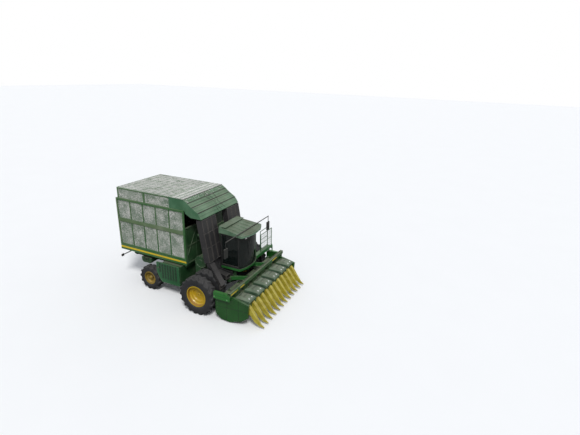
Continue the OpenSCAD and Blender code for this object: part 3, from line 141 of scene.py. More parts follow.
# Edge wear: finds edges by a rounded normal, and breaks them up with noise
def buildEdgeGroup():
    tree, gin, gout = newGroup(
        "edgeWear",
        [("Color", "NodeSocketColor", (0.1, 0.3, 0.1, 1)),
         ("Bare Color", "NodeSocketColor", (0.32, 0.31, 0.29, 1)),
         ("Amount", "NodeSocketFloat", 0.5), ("Reach", "NodeSocketFloat", 0.008)],
        [("Color", "NodeSocketColor"), ("Mask", "NodeSocketFloat"), ("Normal", "NodeSocketVector")])
    coords = tree.nodes.new("ShaderNodeTexCoord").outputs["Object"]
    normal = tree.nodes.new("ShaderNodeNewGeometry").outputs["Normal"]
    rounded = tree.nodes.new("ShaderNodeBevel")
    rounded.samples = 4
    tree.links.new(gin.outputs["Reach"], rounded.inputs["Radius"])
    dot = tree.nodes.new("ShaderNodeVectorMath")
    dot.operation = "DOT_PRODUCT"
    tree.links.new(normal, dot.inputs[0])
    tree.links.new(rounded.outputs["Normal"], dot.inputs[1])
    edge = mathNode(tree, "SUBTRACT", 1.0, dot.outputs["Value"])
    broken = noiseNode(tree, coords, 14.0, 4.0, 0.65)
    mask = mathNode(tree, "MULTIPLY", stepNode(tree, edge, 0.02, 0.2), stepNode(tree, broken, 0.42, 0.62))
    mask = mathNode(tree, "MULTIPLY", mask, gin.outputs["Amount"], True)
    tree.links.new(mixColor(tree, mask, gin.outputs["Color"], gin.outputs["Bare Color"]),
                   gout.inputs["Color"])
    tree.links.new(mask, gout.inputs["Mask"])
    tree.links.new(rounded.outputs["Normal"], gout.inputs["Normal"])
    return tree


dustGroup = buildDustGroup()
edgeGroup = buildEdgeGroup()


def placeGroup(tree, group, **values):
    node = tree.nodes.new("ShaderNodeGroup")
    node.node_tree = group
    for label, value in values.items():
        node.inputs[label.replace("_", " ")].default_value = value
    return node


def newMaterial(name):
    material = bpy.data.materials.new(name)
    material.use_nodes = True
    tree = material.node_tree
    return material, tree, tree.nodes["Principled BSDF"]


# Painted, bare or moulded surface: a colour that varies, field dust, worn edges and a fine bump
def surface(name, s):
    material, tree, shader = newMaterial(name)
    coords = tree.nodes.new("ShaderNodeTexCoord").outputs["Object"]
    broad = noiseNode(tree, coords, s.get("varyScale", 0.9), 4.0)
    color = mixColor(tree, stepNode(tree, broad, 0.35, 0.68), s["color"] + (1,), s["second"] + (1,))
    edge = placeGroup(tree, edgeGroup, Amount=s.get("wear", 0.5), Reach=s.get("edge", 0.008),
                      Bare_Color=s.get("bare", (0.32, 0.31, 0.29)) + (1,))
    tree.links.new(color, edge.inputs["Color"])
    dust = placeGroup(tree, dustGroup, Amount=s.get("dust", 0.35), Lint=s.get("lint", 0.1),
                      Roughness=s["rough"],
                      Dust_Color=s.get("dustColor", (0.30, 0.26, 0.21)) + (1,))
    tree.links.new(edge.outputs["Color"], dust.inputs["Color"])
    tree.links.new(dust.outputs["Color"], shader.inputs["Base Color"])
    tree.links.new(dust.outputs["Roughness"], shader.inputs["Roughness"])
    grain = noiseNode(tree, coords, s.get("grainScale", 160.0), 3.0)
    height = mathNode(tree, "ADD", mathNode(tree, "MULTIPLY", grain, s.get("grain", 0.25)),
                      dust.outputs["Height"])
    bump = tree.nodes.new("ShaderNodeBump")
    bump.inputs["Strength"].default_value = s.get("bump", 0.25)
    bump.inputs["Distance"].default_value = s.get("bumpDepth", 0.002)
    tree.links.new(height, bump.inputs["Height"])
    tree.links.new(edge.outputs["Normal"], bump.inputs["Normal"])
    tree.links.new(bump.outputs["Normal"], shader.inputs["Normal"])
    shader.inputs["Metallic"].default_value = s.get("metallic", 0.0)
    shader.inputs["Coat Weight"].default_value = s.get("coat", 0.0)
    shader.inputs["Coat Roughness"].default_value = 0.2
    return material


finishes = {
    "frame_green": dict(color=(0.009, 0.045, 0.012), second=(0.018, 0.068, 0.022), rough=0.5, dust=0.35,
                        lint=0.12),
    "panel_green": dict(color=(0.012, 0.110, 0.018), second=(0.024, 0.145, 0.030), rough=0.38, dust=0.20,
                        lint=0.08, coat=0.2),
    "roof_green": dict(color=(0.032, 0.115, 0.050), second=(0.070, 0.180, 0.095), rough=0.42, dust=0.35,
                       lint=0.22,
                       varyScale=1.6),
    "duct_black": dict(color=(0.013, 0.013, 0.015), second=(0.022, 0.021, 0.022), rough=0.55, dust=0.35,
                       lint=0.08,
                       dustColor=(0.075, 0.068, 0.060)),
    "dark_iron": dict(color=(0.012, 0.013, 0.012), second=(0.024, 0.023, 0.020), rough=0.5, dust=0.4,
                      lint=0.1,
                      metallic=0.4, dustColor=(0.12, 0.10, 0.08)),
    "polished_rod": dict(color=(0.62, 0.62, 0.60), second=(0.54, 0.54, 0.53), rough=0.16, dust=0.08, lint=0.0,
                         metallic=1.0, wear=0.0, bump=0.05),
    "drum_steel": dict(color=(0.30, 0.29, 0.27), second=(0.40, 0.39, 0.37), rough=0.35, dust=0.3, lint=0.3,
                       metallic=0.8),
    "screen_steel": dict(color=(0.15, 0.21, 0.15), second=(0.26, 0.31, 0.25), rough=0.6, dust=0.3, lint=0.8),
    "exhaust_metal": dict(color=(0.34, 0.33, 0.31), second=(0.24, 0.22, 0.20), rough=0.4, dust=0.3, lint=0.0,
                          metallic=0.9),
    "cab_black": dict(color=(0.009, 0.010, 0.010), second=(0.016, 0.016, 0.016), rough=0.45, dust=0.15,
                      lint=0.05),
    "lamp": dict(color=(0.50, 0.50, 0.47), second=(0.58, 0.58, 0.55), rough=0.15, dust=0.2, lint=0.0),
    "seat_cloth": dict(color=(0.030, 0.030, 0.032), second=(0.040, 0.040, 0.042), rough=0.9, dust=0.2,
                       lint=0.0),
    "rail_green": dict(color=(0.020, 0.090, 0.030), second=(0.035, 0.120, 0.045), rough=0.45, dust=0.25,
                       lint=0.08),
    "lifter_yellow": dict(color=(0.36, 0.29, 0.014), second=(0.50, 0.43, 0.06), rough=0.4, dust=0.3,
                          lint=0.12, varyScale=4.0),
    "rim_yellow": dict(color=(0.53, 0.355, 0.003), second=(0.46, 0.295, 0.003), rough=0.35, dust=0.22,
                       lint=0.05, coat=0.2),
    "tyre": dict(color=(0.008, 0.009, 0.011), second=(0.015, 0.015, 0.017), rough=0.72, dust=0.5, lint=0.1,
                 dustColor=(0.085, 0.08, 0.076), wear=0.9, bare=(0.20, 0.20, 0.19), edge=0.02),
}
extraFinishes = {
    "stripeYellow": dict(color=(0.72, 0.52, 0.02), second=(0.62, 0.45, 0.02), rough=0.35, dust=0.15,
                         lint=0.0),
    "railKhaki": dict(color=(0.085, 0.145, 0.060), second=(0.17, 0.215, 0.14), rough=0.6, dust=0.4,
                      lint=0.35),
    "basketGreen": dict(color=(0.018, 0.105, 0.022), second=(0.075, 0.150, 0.060), rough=0.45, dust=0.3,
                        lint=0.2,
                        varyScale=0.55),
    "shieldGreen": dict(color=(0.003, 0.055, 0.003), second=(0.009, 0.080, 0.010), rough=0.3, dust=0.10,
                        lint=0.05, coat=0.4),
    # Brighter copy of the shield green for the end covers: painted light on their lit side and top
    "coverLitGreen": dict(color=(0.010, 0.130, 0.012), second=(0.022, 0.170, 0.028), rough=0.32, dust=0.12,
                       lint=0.06, coat=0.3),
    "doorGreen": dict(color=(0.008, 0.080, 0.024), second=(0.020, 0.105, 0.040), rough=0.4, dust=0.15,
                      lint=0.06),
    "capGreen": dict(color=(0.040, 0.085, 0.045), second=(0.080, 0.140, 0.085), rough=0.45, dust=0.35,
                     lint=0.30,
                     varyScale=2.6),
    "barGreen": dict(color=(0.028, 0.070, 0.022), second=(0.060, 0.120, 0.050), rough=0.45, dust=0.3,
                     lint=0.15,
                     varyScale=2.0),
    "cabRoofGreen": dict(color=(0.065, 0.135, 0.075), second=(0.150, 0.245, 0.160), rough=0.45, dust=0.65,
                         lint=0.12,
                         dustColor=(0.105, 0.085, 0.062), varyScale=1.4),
    "rimDusty": dict(color=(0.19, 0.125, 0.008), second=(0.40, 0.26, 0.030), rough=0.5, dust=0.6, lint=0.05,
                     varyScale=3.0,
                     dustColor=(0.14, 0.12, 0.09)),
    # Darker copy of the rim yellow: painted shade for the inside of the front rim barrels
    "rimShadeOrange": dict(color=(0.36, 0.175, 0.002), second=(0.30, 0.145, 0.002), rough=0.4, dust=0.3, lint=0.0),
    # Dark for seams between parts, and for painted shade behind and round the service door slots and in the
    # exhaust shield slots
    "seamAndShadeDark": dict(color=(0.006, 0.012, 0.007), second=(0.011, 0.020, 0.012), rough=0.7, dust=0.15,
                     lint=0.0, wear=0.0),
    "mirrorGlass": dict(color=(0.70, 0.72, 0.74), second=(0.66, 0.68, 0.70), rough=0.04, dust=0.1, lint=0.0,
                        metallic=1.0, wear=0.0, bump=0.0),
    "hoseRubber": dict(color=(0.010, 0.010, 0.011), second=(0.018, 0.018, 0.018), rough=0.6, dust=0.3,
                       lint=0.0,
                       wear=0.0),
    "boltZinc": dict(color=(0.30, 0.29, 0.27), second=(0.22, 0.20, 0.18), rough=0.4, dust=0.3, lint=0.0,
                     metallic=0.9),
    "ductDusty": dict(color=(0.040, 0.036, 0.032), second=(0.062, 0.056, 0.050), rough=0.7, dust=0.5,
                      lint=0.2,
                      dustColor=(0.10, 0.09, 0.08)),
    "hemGreen": dict(color=(0.020, 0.115, 0.038), second=(0.055, 0.165, 0.075), rough=0.4, dust=0.25,
                     lint=0.1),
    "lampBlack": dict(color=(0.014, 0.014, 0.014), second=(0.022, 0.022, 0.021), rough=0.4, dust=0.3,
                      lint=0.0),
    # Pale lens colour: used for the real lamp lenses, and for pale dots on the unit caps that are painted
    # glints
    "lensAndGlintPale": dict(color=(0.66, 0.67, 0.65), second=(0.74, 0.75, 0.73), rough=0.08, dust=0.15, lint=0.0,
                      wear=0.0),
    # Lighter green for the strip on the cab roof's front lip: a painted highlight where light falls on the
    # lip
    "lipHighlightGreen": dict(color=(0.120, 0.240, 0.150), second=(0.180, 0.310, 0.210), rough=0.35, dust=0.2,
                     lint=0.1),
    # Pale green for round discs on the end shields: painted highlight where light glints
    "shieldGlintPale": dict(color=(0.16, 0.38, 0.16), second=(0.24, 0.46, 0.22), rough=0.3, dust=0.2, lint=0.0),
    "lintWhite": dict(color=(0.52, 0.53, 0.50), second=(0.66, 0.66, 0.63), rough=0.95, dust=0.25, lint=0.6,
                      wear=0.0,
                      bump=0.7, bumpDepth=0.006),
    "tailRed": dict(color=(0.42, 0.012, 0.010), second=(0.36, 0.010, 0.008), rough=0.12, dust=0.15, lint=0.0,
                    wear=0.0),
    "flashAmber": dict(color=(0.75, 0.24, 0.01), second=(0.68, 0.20, 0.01), rough=0.12, dust=0.15, lint=0.0,
                       wear=0.0),
}
nodeLooks = {"basket_sides": "basketGreen", "basket_ends": "frame_green", "top_frame": "basketGreen",
             "end_shields": "shieldGreen", "service_door_right": "doorGreen",
             "service_door_left": "doorGreen",
             "unit_caps": "capGreen", "toolbar": "barGreen", "cab_roof": "cabRoofGreen",
             "row_units_right": "barGreen",
             "row_units_left": "barGreen", "rear_rim_right": "rimDusty", "rear_rim_left": "rimDusty"}
materials = {name: surface(name, s) for name, s in {**finishes, **extraFinishes}.items()}

weave = dict(color=(0.060, 0.064, 0.072, 1), second=(0.120, 0.124, 0.134, 1), threads=900.0)


# Woven cloth of the seat: two crossing waves of threads, worn paler in patches
def clothMaterial(name):
    material, tree, shader = newMaterial(name)
    coords = tree.nodes.new("ShaderNodeTexCoord").outputs["Object"]
    heights = []
    for direction in ("X", "Y", "Z"):
        wave = tree.nodes.new("ShaderNodeTexWave")
        wave.bands_direction = direction
        wave.inputs["Scale"].default_value = weave["threads"] / 6
        tree.links.new(coords, wave.inputs["Vector"])
        heights.append(wave.outputs["Fac"])
    threads = mathNode(tree, "MAXIMUM", mathNode(tree, "MAXIMUM", heights[0], heights[1]), heights[2])
    patches = noiseNode(tree, coords, 9.0, 4.0)
    tone = mathNode(tree, "MULTIPLY", threads, stepNode(tree, patches, 0.3, 0.8))
    tree.links.new(mixColor(tree, tone, weave["color"], weave["second"]), shader.inputs["Base Color"])
    bump = tree.nodes.new("ShaderNodeBump")
    bump.inputs["Strength"].default_value = 0.4
    bump.inputs["Distance"].default_value = 0.001
    tree.links.new(threads, bump.inputs["Height"])
    tree.links.new(bump.outputs["Normal"], shader.inputs["Normal"])
    shader.inputs["Roughness"].default_value = 0.92
    shader.inputs["Sheen Weight"].default_value = 0.3
    return material


materials["seatWeave"] = clothMaterial("seatWeave")
# Glass tint near black: partly the glass's own tint, partly painted shade of the dark cab interior seen
# through it
glassSettings = dict(clear=(0.030, 0.045, 0.042, 1), smeared=(0.055, 0.065, 0.058, 1), transmission=0.82,
                     ior=1.45)


def glassMaterial():
    material, tree, shader = newMaterial("glass")
    coords = tree.nodes.new("ShaderNodeTexCoord").outputs["Object"]
    smear = noiseNode(tree, coords, 2.2, 5.0, 0.7)
    tint = mixColor(tree, stepNode(tree, smear, 0.45, 0.8), glassSettings["clear"], glassSettings["smeared"])
    tree.links.new(tint, shader.inputs["Base Color"])
    tree.links.new(mathNode(tree, "ADD", mathNode(tree, "MULTIPLY", stepNode(tree, smear, 0.5, 0.8), 0.25),
                            0.04),
                   shader.inputs["Roughness"])
    shader.inputs["Transmission Weight"].default_value = glassSettings["transmission"]
    shader.inputs["IOR"].default_value = glassSettings["ior"]
    return material


materials["glass"] = glassMaterial()
for entry in frame["record"]["subparts"]:
    mesh = nodes[entry["node"]].data
    mesh.materials.clear()
    mesh.materials.append(materials[nodeLooks.get(entry["node"], entry["material_slot"])])
print("materials placed on the CAD nodes")


# Geometry Nodes: one tree puts a shape on points that carry a turn and a size

def newTree(name, sizes):
    tree = bpy.data.node_groups.new(name, "GeometryNodeTree")
    tree.interface.new_socket(name="Geometry", in_out="INPUT", socket_type="NodeSocketGeometry")
    for label, value in sizes.items():
        kind = "NodeSocketInt" if isinstance(value, int) else "NodeSocketFloat"
        tree.interface.new_socket(name=label, in_out="INPUT", socket_type=kind).default_value = value
    tree.interface.new_socket(name="Material", in_out="INPUT", socket_type="NodeSocketMaterial")
    tree.interface.new_socket(name="Geometry", in_out="OUTPUT", socket_type="NodeSocketGeometry")
    return tree, tree.nodes.new("NodeGroupInput"), tree.nodes.new("NodeGroupOutput")


def finishTree(tree, gin, gout, geometry):
    realize = tree.nodes.new("GeometryNodeRealizeInstances")
    paint = tree.nodes.new("GeometryNodeSetMaterial")
    tree.links.new(geometry, realize.inputs[0])
    tree.links.new(realize.outputs[0], paint.inputs["Geometry"])
    tree.links.new(gin.outputs["Material"], paint.inputs["Material"])
    tree.links.new(paint.outputs[0], gout.inputs[0])
    return tree


def shapeTree(name, sizes, shape):
    tree, gin, gout = newTree(name, sizes)
    place = tree.nodes.new("GeometryNodeInstanceOnPoints")
    for label, socket in (("turn", "Rotation"), ("size", "Scale")):
        stored = tree.nodes.new("GeometryNodeInputNamedAttribute")
        stored.data_type = "FLOAT_VECTOR"
        stored.inputs["Name"].default_value = label
        tree.links.new(stored.outputs["Attribute"], place.inputs[socket])
    tree.links.new(gin.outputs["Geometry"], place.inputs["Points"])
    tree.links.new(shape(tree, gin), place.inputs["Instance"])
    return finishTree(tree, gin, gout, place.outputs[0])


def cylinderShape(tree, gin, sides, radius, depth):
    node = tree.nodes.new("GeometryNodeMeshCylinder")
    node.inputs["Vertices"].default_value = sides
    tree.links.new(gin.outputs[radius], node.inputs["Radius"])
    tree.links.new(gin.outputs[depth], node.inputs["Depth"])
    return node.outputs["Mesh"]


def joined(tree, *sockets):
    node = tree.nodes.new("GeometryNodeJoinGeometry")
    for socket in sockets:
        tree.links.new(socket, node.inputs[0])
    return node.outputs[0]


def boltShape(tree, gin):
    return joined(tree, cylinderShape(tree, gin, 6, "Head Radius", "Head Height"),
                  cylinderShape(tree, gin, 12, "Washer Radius", "Washer Height"))


def spindleShape(tree, gin):
    node = tree.nodes.new("GeometryNodeMeshCone")
    node.inputs["Vertices"].default_value = 7
    tree.links.new(gin.outputs["Tip Radius"], node.inputs["Radius Top"])
    tree.links.new(gin.outputs["Root Radius"], node.inputs["Radius Bottom"])
    tree.links.new(gin.outputs["Length"], node.inputs["Depth"])
    return node.outputs["Mesh"]


def slatShape(tree, gin):
    node = tree.nodes.new("GeometryNodeMeshCube")
    size = tree.nodes.new("ShaderNodeCombineXYZ")
    for label, socket in (("Length", "X"), ("Width", "Y"), ("Height", "Z")):
        tree.links.new(gin.outputs[label], size.inputs[socket])
    tree.links.new(size.outputs[0], node.inputs["Size"])
    return node.outputs["Mesh"]


def tuftShape(tree, gin):
    node = tree.nodes.new("GeometryNodeMeshIcoSphere")
    node.inputs["Subdivisions"].default_value = 1
    tree.links.new(gin.outputs["Radius"], node.inputs["Radius"])
    return node.outputs["Mesh"]


def rodShape(tree, gin):
    return cylinderShape(tree, gin, 6, "Radius", "Length")


boltTree = shapeTree("boltsOnPoints", {"Head Radius": 0.012, "Head Height": 0.016, "Washer Radius": 0.02,
                                       "Washer Height": 0.006}, boltShape)
spindleTree = shapeTree("spindlesOnBars", {"Tip Radius": 0.002, "Root Radius": 0.006, "Length": 0.05},
                        spindleShape)
slatTree = shapeTree("slatsOnPoints", {"Length": 1.0, "Width": 0.02, "Height": 0.02}, slatShape)
tuftTree = shapeTree("tuftsOnPoints", {"Radius": 1.0}, tuftShape)
rodTree = shapeTree("rodsOnPoints", {"Radius": 0.003, "Length": 1.0}, rodShape)


def buildTubeTree():
    tree, gin, gout = newTree("tubeAlongLine", {"Radius": 0.01, "Sides": 10})
    curve = tree.nodes.new("GeometryNodeMeshToCurve")
    tree.links.new(gin.outputs["Geometry"], curve.inputs[0])
    ring = tree.nodes.new("GeometryNodeCurvePrimitiveCircle")
    tree.links.new(gin.outputs["Sides"], ring.inputs["Resolution"])
    tree.links.new(gin.outputs["Radius"], ring.inputs["Radius"])
    tube = tree.nodes.new("GeometryNodeCurveToMesh")
    tube.inputs["Fill Caps"].default_value = True
    tree.links.new(curve.outputs[0], tube.inputs["Curve"])
    tree.links.new(ring.outputs[0], tube.inputs["Profile Curve"])
    smooth = tree.nodes.new("GeometryNodeSetShadeSmooth")
    tree.links.new(tube.outputs[0], smooth.inputs[0])
    return finishTree(tree, gin, gout, smooth.outputs[0])


tubeTree = buildTubeTree()


def linked(name, mesh):
    piece = bpy.data.objects.new(name, mesh)
    bpy.context.scene.collection.objects.link(piece)
    return piece


def grown(name, base, tree, material, **values):
    holder = linked(name + "Base", base)
    modifier = holder.modifiers.new("grow", "NODES")
    modifier.node_group = tree
    wanted = {label.replace("_", " "): value for label, value in values.items()}
    wanted["Material"] = material
    for item in tree.interface.items_tree:
        if item.in_out == "INPUT" and item.name in wanted:
            modifier[item.identifier] = wanted[item.name]
    bpy.context.view_layer.update()
    graph = bpy.context.evaluated_depsgraph_get()
    mesh = bpy.data.meshes.new_from_object(holder.evaluated_get(graph), depsgraph=graph)
    bpy.data.objects.remove(holder)
    return linked(name, mesh)


def pointMesh(spots):
    mesh = bpy.data.meshes.new("spots")
    mesh.from_pydata([tuple(place) for place, turn, size in spots], [], [])
    for label, index in (("turn", 1), ("size", 2)):
        stored = mesh.attributes.new(label, "FLOAT_VECTOR", "POINT")
        for i, spot in enumerate(spots):
            stored.data[i].vector = spot[index]
    return mesh


def facing(direction):
    return tuple(Vector(direction).to_track_quat("Z", "Y").to_euler())


def spotsAlong(start, end, count, direction, size=(1, 1, 1)):
    a, b = Vector(start), Vector(end)
    turn = facing(direction)
    return [(a.lerp(b, i / max(count - 1, 1)), turn, size) for i in range(count)]


def onRing(centre, radius, count, axis, direction, start=0.0):
    axis = Vector(axis).normalized()
    side = axis.orthogonal().normalized()
    other = axis.cross(side)
    turn = facing(direction)
    spots = []
    for i in range(count):
        angle = start + 2 * math.pi * i / count
        spots.append((Vector(centre) + (side * math.cos(angle) + other * math.sin(angle)) * radius, turn,
                      (1, 1, 1)))
    return spots


def placed(name, spots, tree, slot, body, look=None, **values):
    piece = grown(name, pointMesh(spots), tree, materials[look or slot], **values)
    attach(piece, body)
    return piece


def smoothLine(points, steps=8):
    pts = [Vector(p) for p in points]
    ends = [pts[0] * 2 - pts[1]] + pts + [pts[-1] * 2 - pts[-2]]
    line = []
    for i in range(1, len(ends) - 2):
        a, b, c, d = ends[i - 1:i + 3]
        for k in range(steps):
            t = k / steps
            line.append(0.5 * (2 * b + (c - a) * t + (2 * a - 5 * b + 4 * c - d) * t * t
                               + (3 * b - a - 3 * c + d) * t ** 3))
    return line + [pts[-1]]


def tube(name, lines, slot, body, radius, sides=10, look=None):
    mesh = bpy.data.meshes.new(name + "Line")
    verts, edges = [], []
    for line in lines:
        start = len(verts)
        verts += [tuple(p) for p in line]
        edges += [(start + i, start + i + 1) for i in range(len(line) - 1)]
    mesh.from_pydata(verts, edges, [])
    piece = grown(name, mesh, tubeTree, materials[look or slot], Radius=radius, Sides=sides)
    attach(piece, body)
    return piece


def meshPiece(name, build, slot, body, bevel=0.0, smooth=False, look=None):
    mesh = bpy.data.meshes.new(name)
    bm = bmesh.new()
    build(bm)
    if bevel:
        bmesh.ops.bevel(bm, geom=[e for e in bm.edges if e.is_manifold and e.calc_face_angle(0) > 0.6],
                        offset=bevel, segments=2, profile=0.6, affect="EDGES")
    bmesh.ops.recalc_face_normals(bm, faces=bm.faces)
    bm.to_mesh(mesh)
    bm.free()
    mesh.materials.append(materials[look or slot])
    if smooth:
        for face in mesh.polygons:
            face.use_smooth = True
    piece = linked(name, mesh)
    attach(piece, body)
    return piece


def addBox(bm, low, high):
    place = Matrix.Translation([(a + b) / 2 for a, b in zip(low, high)])
    scale = Matrix.Diagonal([b - a for a, b in zip(low, high)] + [1])
    bmesh.ops.create_cube(bm, size=1, matrix=place @ scale)


def boxes(name, pairs, slot, body, bevel=0.003, look=None):
    def build(bm):
        for low, high in pairs:
            addBox(bm, low, high)
    return meshPiece(name, build, slot, body, bevel, look=look)


# Part coordinates are millimetres from the ground under the front axle, as on a drawing
def at(x, y, z):
    return Vector((x + 1090, y, z)) / 1000


# A turn that lays local X along one direction and keeps local Z near another
def turned(along, up=(0, 0, 1)):
    x = Vector(along).normalized()
    y = Vector(up).cross(x)
    y = y.normalized() if y.length > 1e-6 else x.orthogonal().normalized()
    return tuple(Matrix((x, y, x.cross(y))).transposed().to_euler())


def bar(a, b, up=(0, 0, 1)):
    a, b = Vector(a), Vector(b)
    return ((a + b) / 2, turned(b - a, up), ((b - a).length, 1, 1))


def bars(name, spots, slot, body, width, height, look=None):
    return placed(name, spots, slatTree, slot, body, look, Length=1.0, Width=width, Height=height)


def bolts(name, spots, slot, body, look="boltZinc", size=1.0):
    return placed(name, spots, boltTree, slot, body, look, Head_Radius=0.011 * size, Head_Height=0.018 * size,
                  Washer_Radius=0.018 * size, Washer_Height=0.007 * size)


def addTurned(bm, profile, axisPoint, axis, steps=40):
    axis = Vector(axis).normalized()
    side = axis.orthogonal().normalized()
    other = axis.cross(side)
    rings = []
    closed = profile[0] == profile[-1]
    points = profile[:-1] if closed else profile
    for i in range(steps):
        a = 2 * math.pi * i / steps
        out = side * math.cos(a) + other * math.sin(a)
        rings.append([bm.verts.new(Vector(axisPoint) + out * r + axis * h) for r, h in points])
    count = len(points)
    for i in range(steps):
        one, two = rings[i], rings[(i + 1) % steps]
        for k in range(count if closed else count - 1):
            m = (k + 1) % count
            bm.faces.new((one[k], two[k], two[m], one[m]))
    if not closed:
        for k in (0, count - 1):
            if points[k][0] > 1e-5:
                bm.faces.new([ring[k] for ring in rings])


def turnedPieces(name, items, slot, body, look=None, steps=40):
    def build(bm):
        for profile, place, axis in items:
            addTurned(bm, profile, place, axis, steps)
    piece = meshPiece(name, build, slot, body, 0.0, True, look)
    piece.data.set_sharp_from_angle(angle=math.radians(35))
    return piece


# Basket: stripes, hems, rail facings, wire over the screens, bolts and the braces of its front wall

basket = dict(rear=-5190, front=-1150, half=1560, low=1750, beam=330, midRail=3330, top=4410, stripeLow=1850,
              stripeHigh=1935, wirePitch=58, wireRadius=0.0028, frontWallTop=3560)


def wireSpots(x0, x1, z0, z1, y, pitch):
    spots = []
    across, along = int((x1 - x0) / pitch), int((z1 - z0) / pitch)
    for i in range(1, across):
        x = x0 + (x1 - x0) * i / across
        spots.append((at(x, y, (z0 + z1) / 2), facing((0, 0, 1)), (1, 1, (z1 - z0) / 1000)))
    for i in range(1, along):
        z = z0 + (z1 - z0) * i / along
        spots.append((at((x0 + x1) / 2, y, z), facing((1, 0, 0)), (1, 1, (x1 - x0) / 1000)))
    return spots


def dressBasket():
    s = basket
    face = s["half"]
    lower = (s["low"] + s["beam"], s["midRail"] - 90)
    upper = (s["midRail"] + 90, s["top"] - 90)
    boxes("basketStripes", [(at(s["rear"] + 4, y, s["stripeLow"]), at(s["front"] - 4, y + 4, s["stripeHigh"]))
                            for y in (face, -face - 4)], "panel_green", "basket", 0.001, "stripeYellow")
    boxes("basketHems", [(at(s["rear"] + 2, y, z), at(s["front"] - 2, y + 10, z + 22))
                         for y in (face, -face - 10) for z in (s["low"], s["low"] + s["beam"] - 22)],
          "panel_green", "basket", 0.003)
    right = [(at(s["rear"] + 90, -face - 5, s["midRail"] - 84),
              at(s["front"] - 90, -face, s["midRail"] + 84)),
             (at(s["rear"] + 3, -face - 5, s["low"] + s["beam"]), at(s["rear"] + 87, -face, s["top"] - 4))]
    left = [(at(s["rear"] + 90, face, s["midRail"] - 84), at(s["front"] - 90, face + 5, s["midRail"] + 44))]
    boxes("railFacings", right + left, "panel_green", "basket", 0.002, "railKhaki")
    spots = []
    for side in (-1, 1):
        for low, high in (lower, upper) if side < 0 else (lower,):
            spots += wireSpots(s["rear"] + 90, s["front"] - 90, low, high, side * (face - 29), s["wirePitch"])
    placed("sideWires", spots, rodTree, "screen_steel", "basket", Radius=s["wireRadius"], Length=1.0)
    door = wireSpots(s["rear"] + 150, s["front"] - 150, s["midRail"] + 160, s["top"] - 160, face - 24,
                     s["wirePitch"])
    placed("doorWires", door, rodTree, "screen_steel", "unload_door", Radius=s["wireRadius"], Length=1.0)
    heads = []
    for side in (-1, 1):
        for z in (s["low"] + 60, s["low"] + s["beam"] - 55):
            heads += spotsAlong(at(s["rear"] + 60, side * face, z), at(s["front"] - 60, side * face, z), 22,
                                (0, side, 0))
        for x in (s["rear"] + 45, s["front"] - 45):
            proud = 5 if x < -4000 and side < 0 else 0
            heads += spotsAlong(at(x, side * (face + proud), s["low"] + 420),
                                at(x, side * (face + proud), s["top"] - 80),
                                14, (0, side, 0))
    for z in (1860, 2600, 3330, 4300):
        heads += spotsAlong(at(s["rear"], -1380, z), at(s["rear"], 1380, z), 13, (-1, 0, 0))
    bolts("basketBolts", heads, "panel_green", "basket", None)
    x = s["front"] + 11
    braces = []
    for side in (-1, 1):
        for y in (1440, 760):
            braces.append(bar(at(x, side * y, 1770), at(x, side * y, s["frontWallTop"] - 10), (1, 0, 0)))
        braces.append(bar(at(x, side * 1440, 2140), at(x, side * 760, 3320), (1, 0, 0)))
    for z in (1800, 2640, s["frontWallTop"] - 40):
        braces.append(bar(at(x, -1490, z), at(x, 1490, z), (1, 0, 0)))
    bars("frontBraces", braces, "frame_green", "basket", 0.055, 0.022)
    print("basket dressed")


dressBasket()


# Raised top: wires over its screens, and the ribbed mesh of its roof

raisedTop = dict(rear=-5120, front=-2000, half=1492, low=4412, high=4858, roof=4920, panels=9, rowsAcross=5)


def dressTop():
    s = raisedTop
    spots = []
    for side in (-1, 1):
        for x0, x1 in ((s["rear"] + 84, -3524), (-3416, s["front"] + 6)):
            spots += wireSpots(x0, x1, s["low"], s["high"], side * (s["half"] - 11), 58)
    placed("topWires", spots, rodTree, "screen_steel", "basket", Radius=0.0026, Length=1.0)
    ribs = []
    for i in range(s["panels"] + 1):
        x = s["rear"] + 30 + (s["front"] - s["rear"] - 60) * i / s["panels"]
        ribs.append(bar(at(x, -s["half"] + 4, s["roof"] + 3), at(x, s["half"] - 4, s["roof"] + 3)))
    for i in range(s["rowsAcross"] + 1):
        y = (s["half"] - 30) * (2 * i / s["rowsAcross"] - 1)
        ribs.append(bar(at(s["rear"] + 4, y, s["roof"] + 2), at(s["front"] - 4, y, s["roof"] + 2)))
    bars("roofRibs", ribs, "panel_green", "basket", 0.036, 0.008)
    mesh = []
    for i in range(1, 78):
        x = s["rear"] + (s["front"] - s["rear"]) * i / 78
        mesh.append((at(x, 0, s["roof"] + 2), facing((0, 1, 0)), (1, 1, 2 * s["half"] / 1000 - 0.04)))
    for i in range(1, 60):
        y = s["half"] * (2 * i / 60 - 1)
        mesh.append((at((s["rear"] + s["front"]) / 2, y, s["roof"] + 2), facing((1, 0, 0)), (1, 1, 3.1)))
    placed("roofMesh", mesh, rodTree, "screen_steel", "basket", Radius=0.003, Length=1.0)
    heads = []
    for side in (-1, 1):
        heads += spotsAlong(at(s["rear"] + 60, side * s["half"], 4888),
                            at(s["front"] - 60, side * s["half"], 4888), 18,
                            (0, side, 0))
    bolts("topBolts", heads, "panel_green", "basket", None, 0.8)
    print("raised top dressed")


dressTop()


# Lint: flat tufts in streaks over the raised roof, and on a thin felt over the flat part of the hood

lint = dict(streaks=230, perStreak=9, edgeTufts=900, slopeTufts=90, roof=4922, rear=-5080, front=-1240,
            half=1450, thick=0.009,
            bend=-1225, felt=(-1984, -1240, 4920.5, 4927))


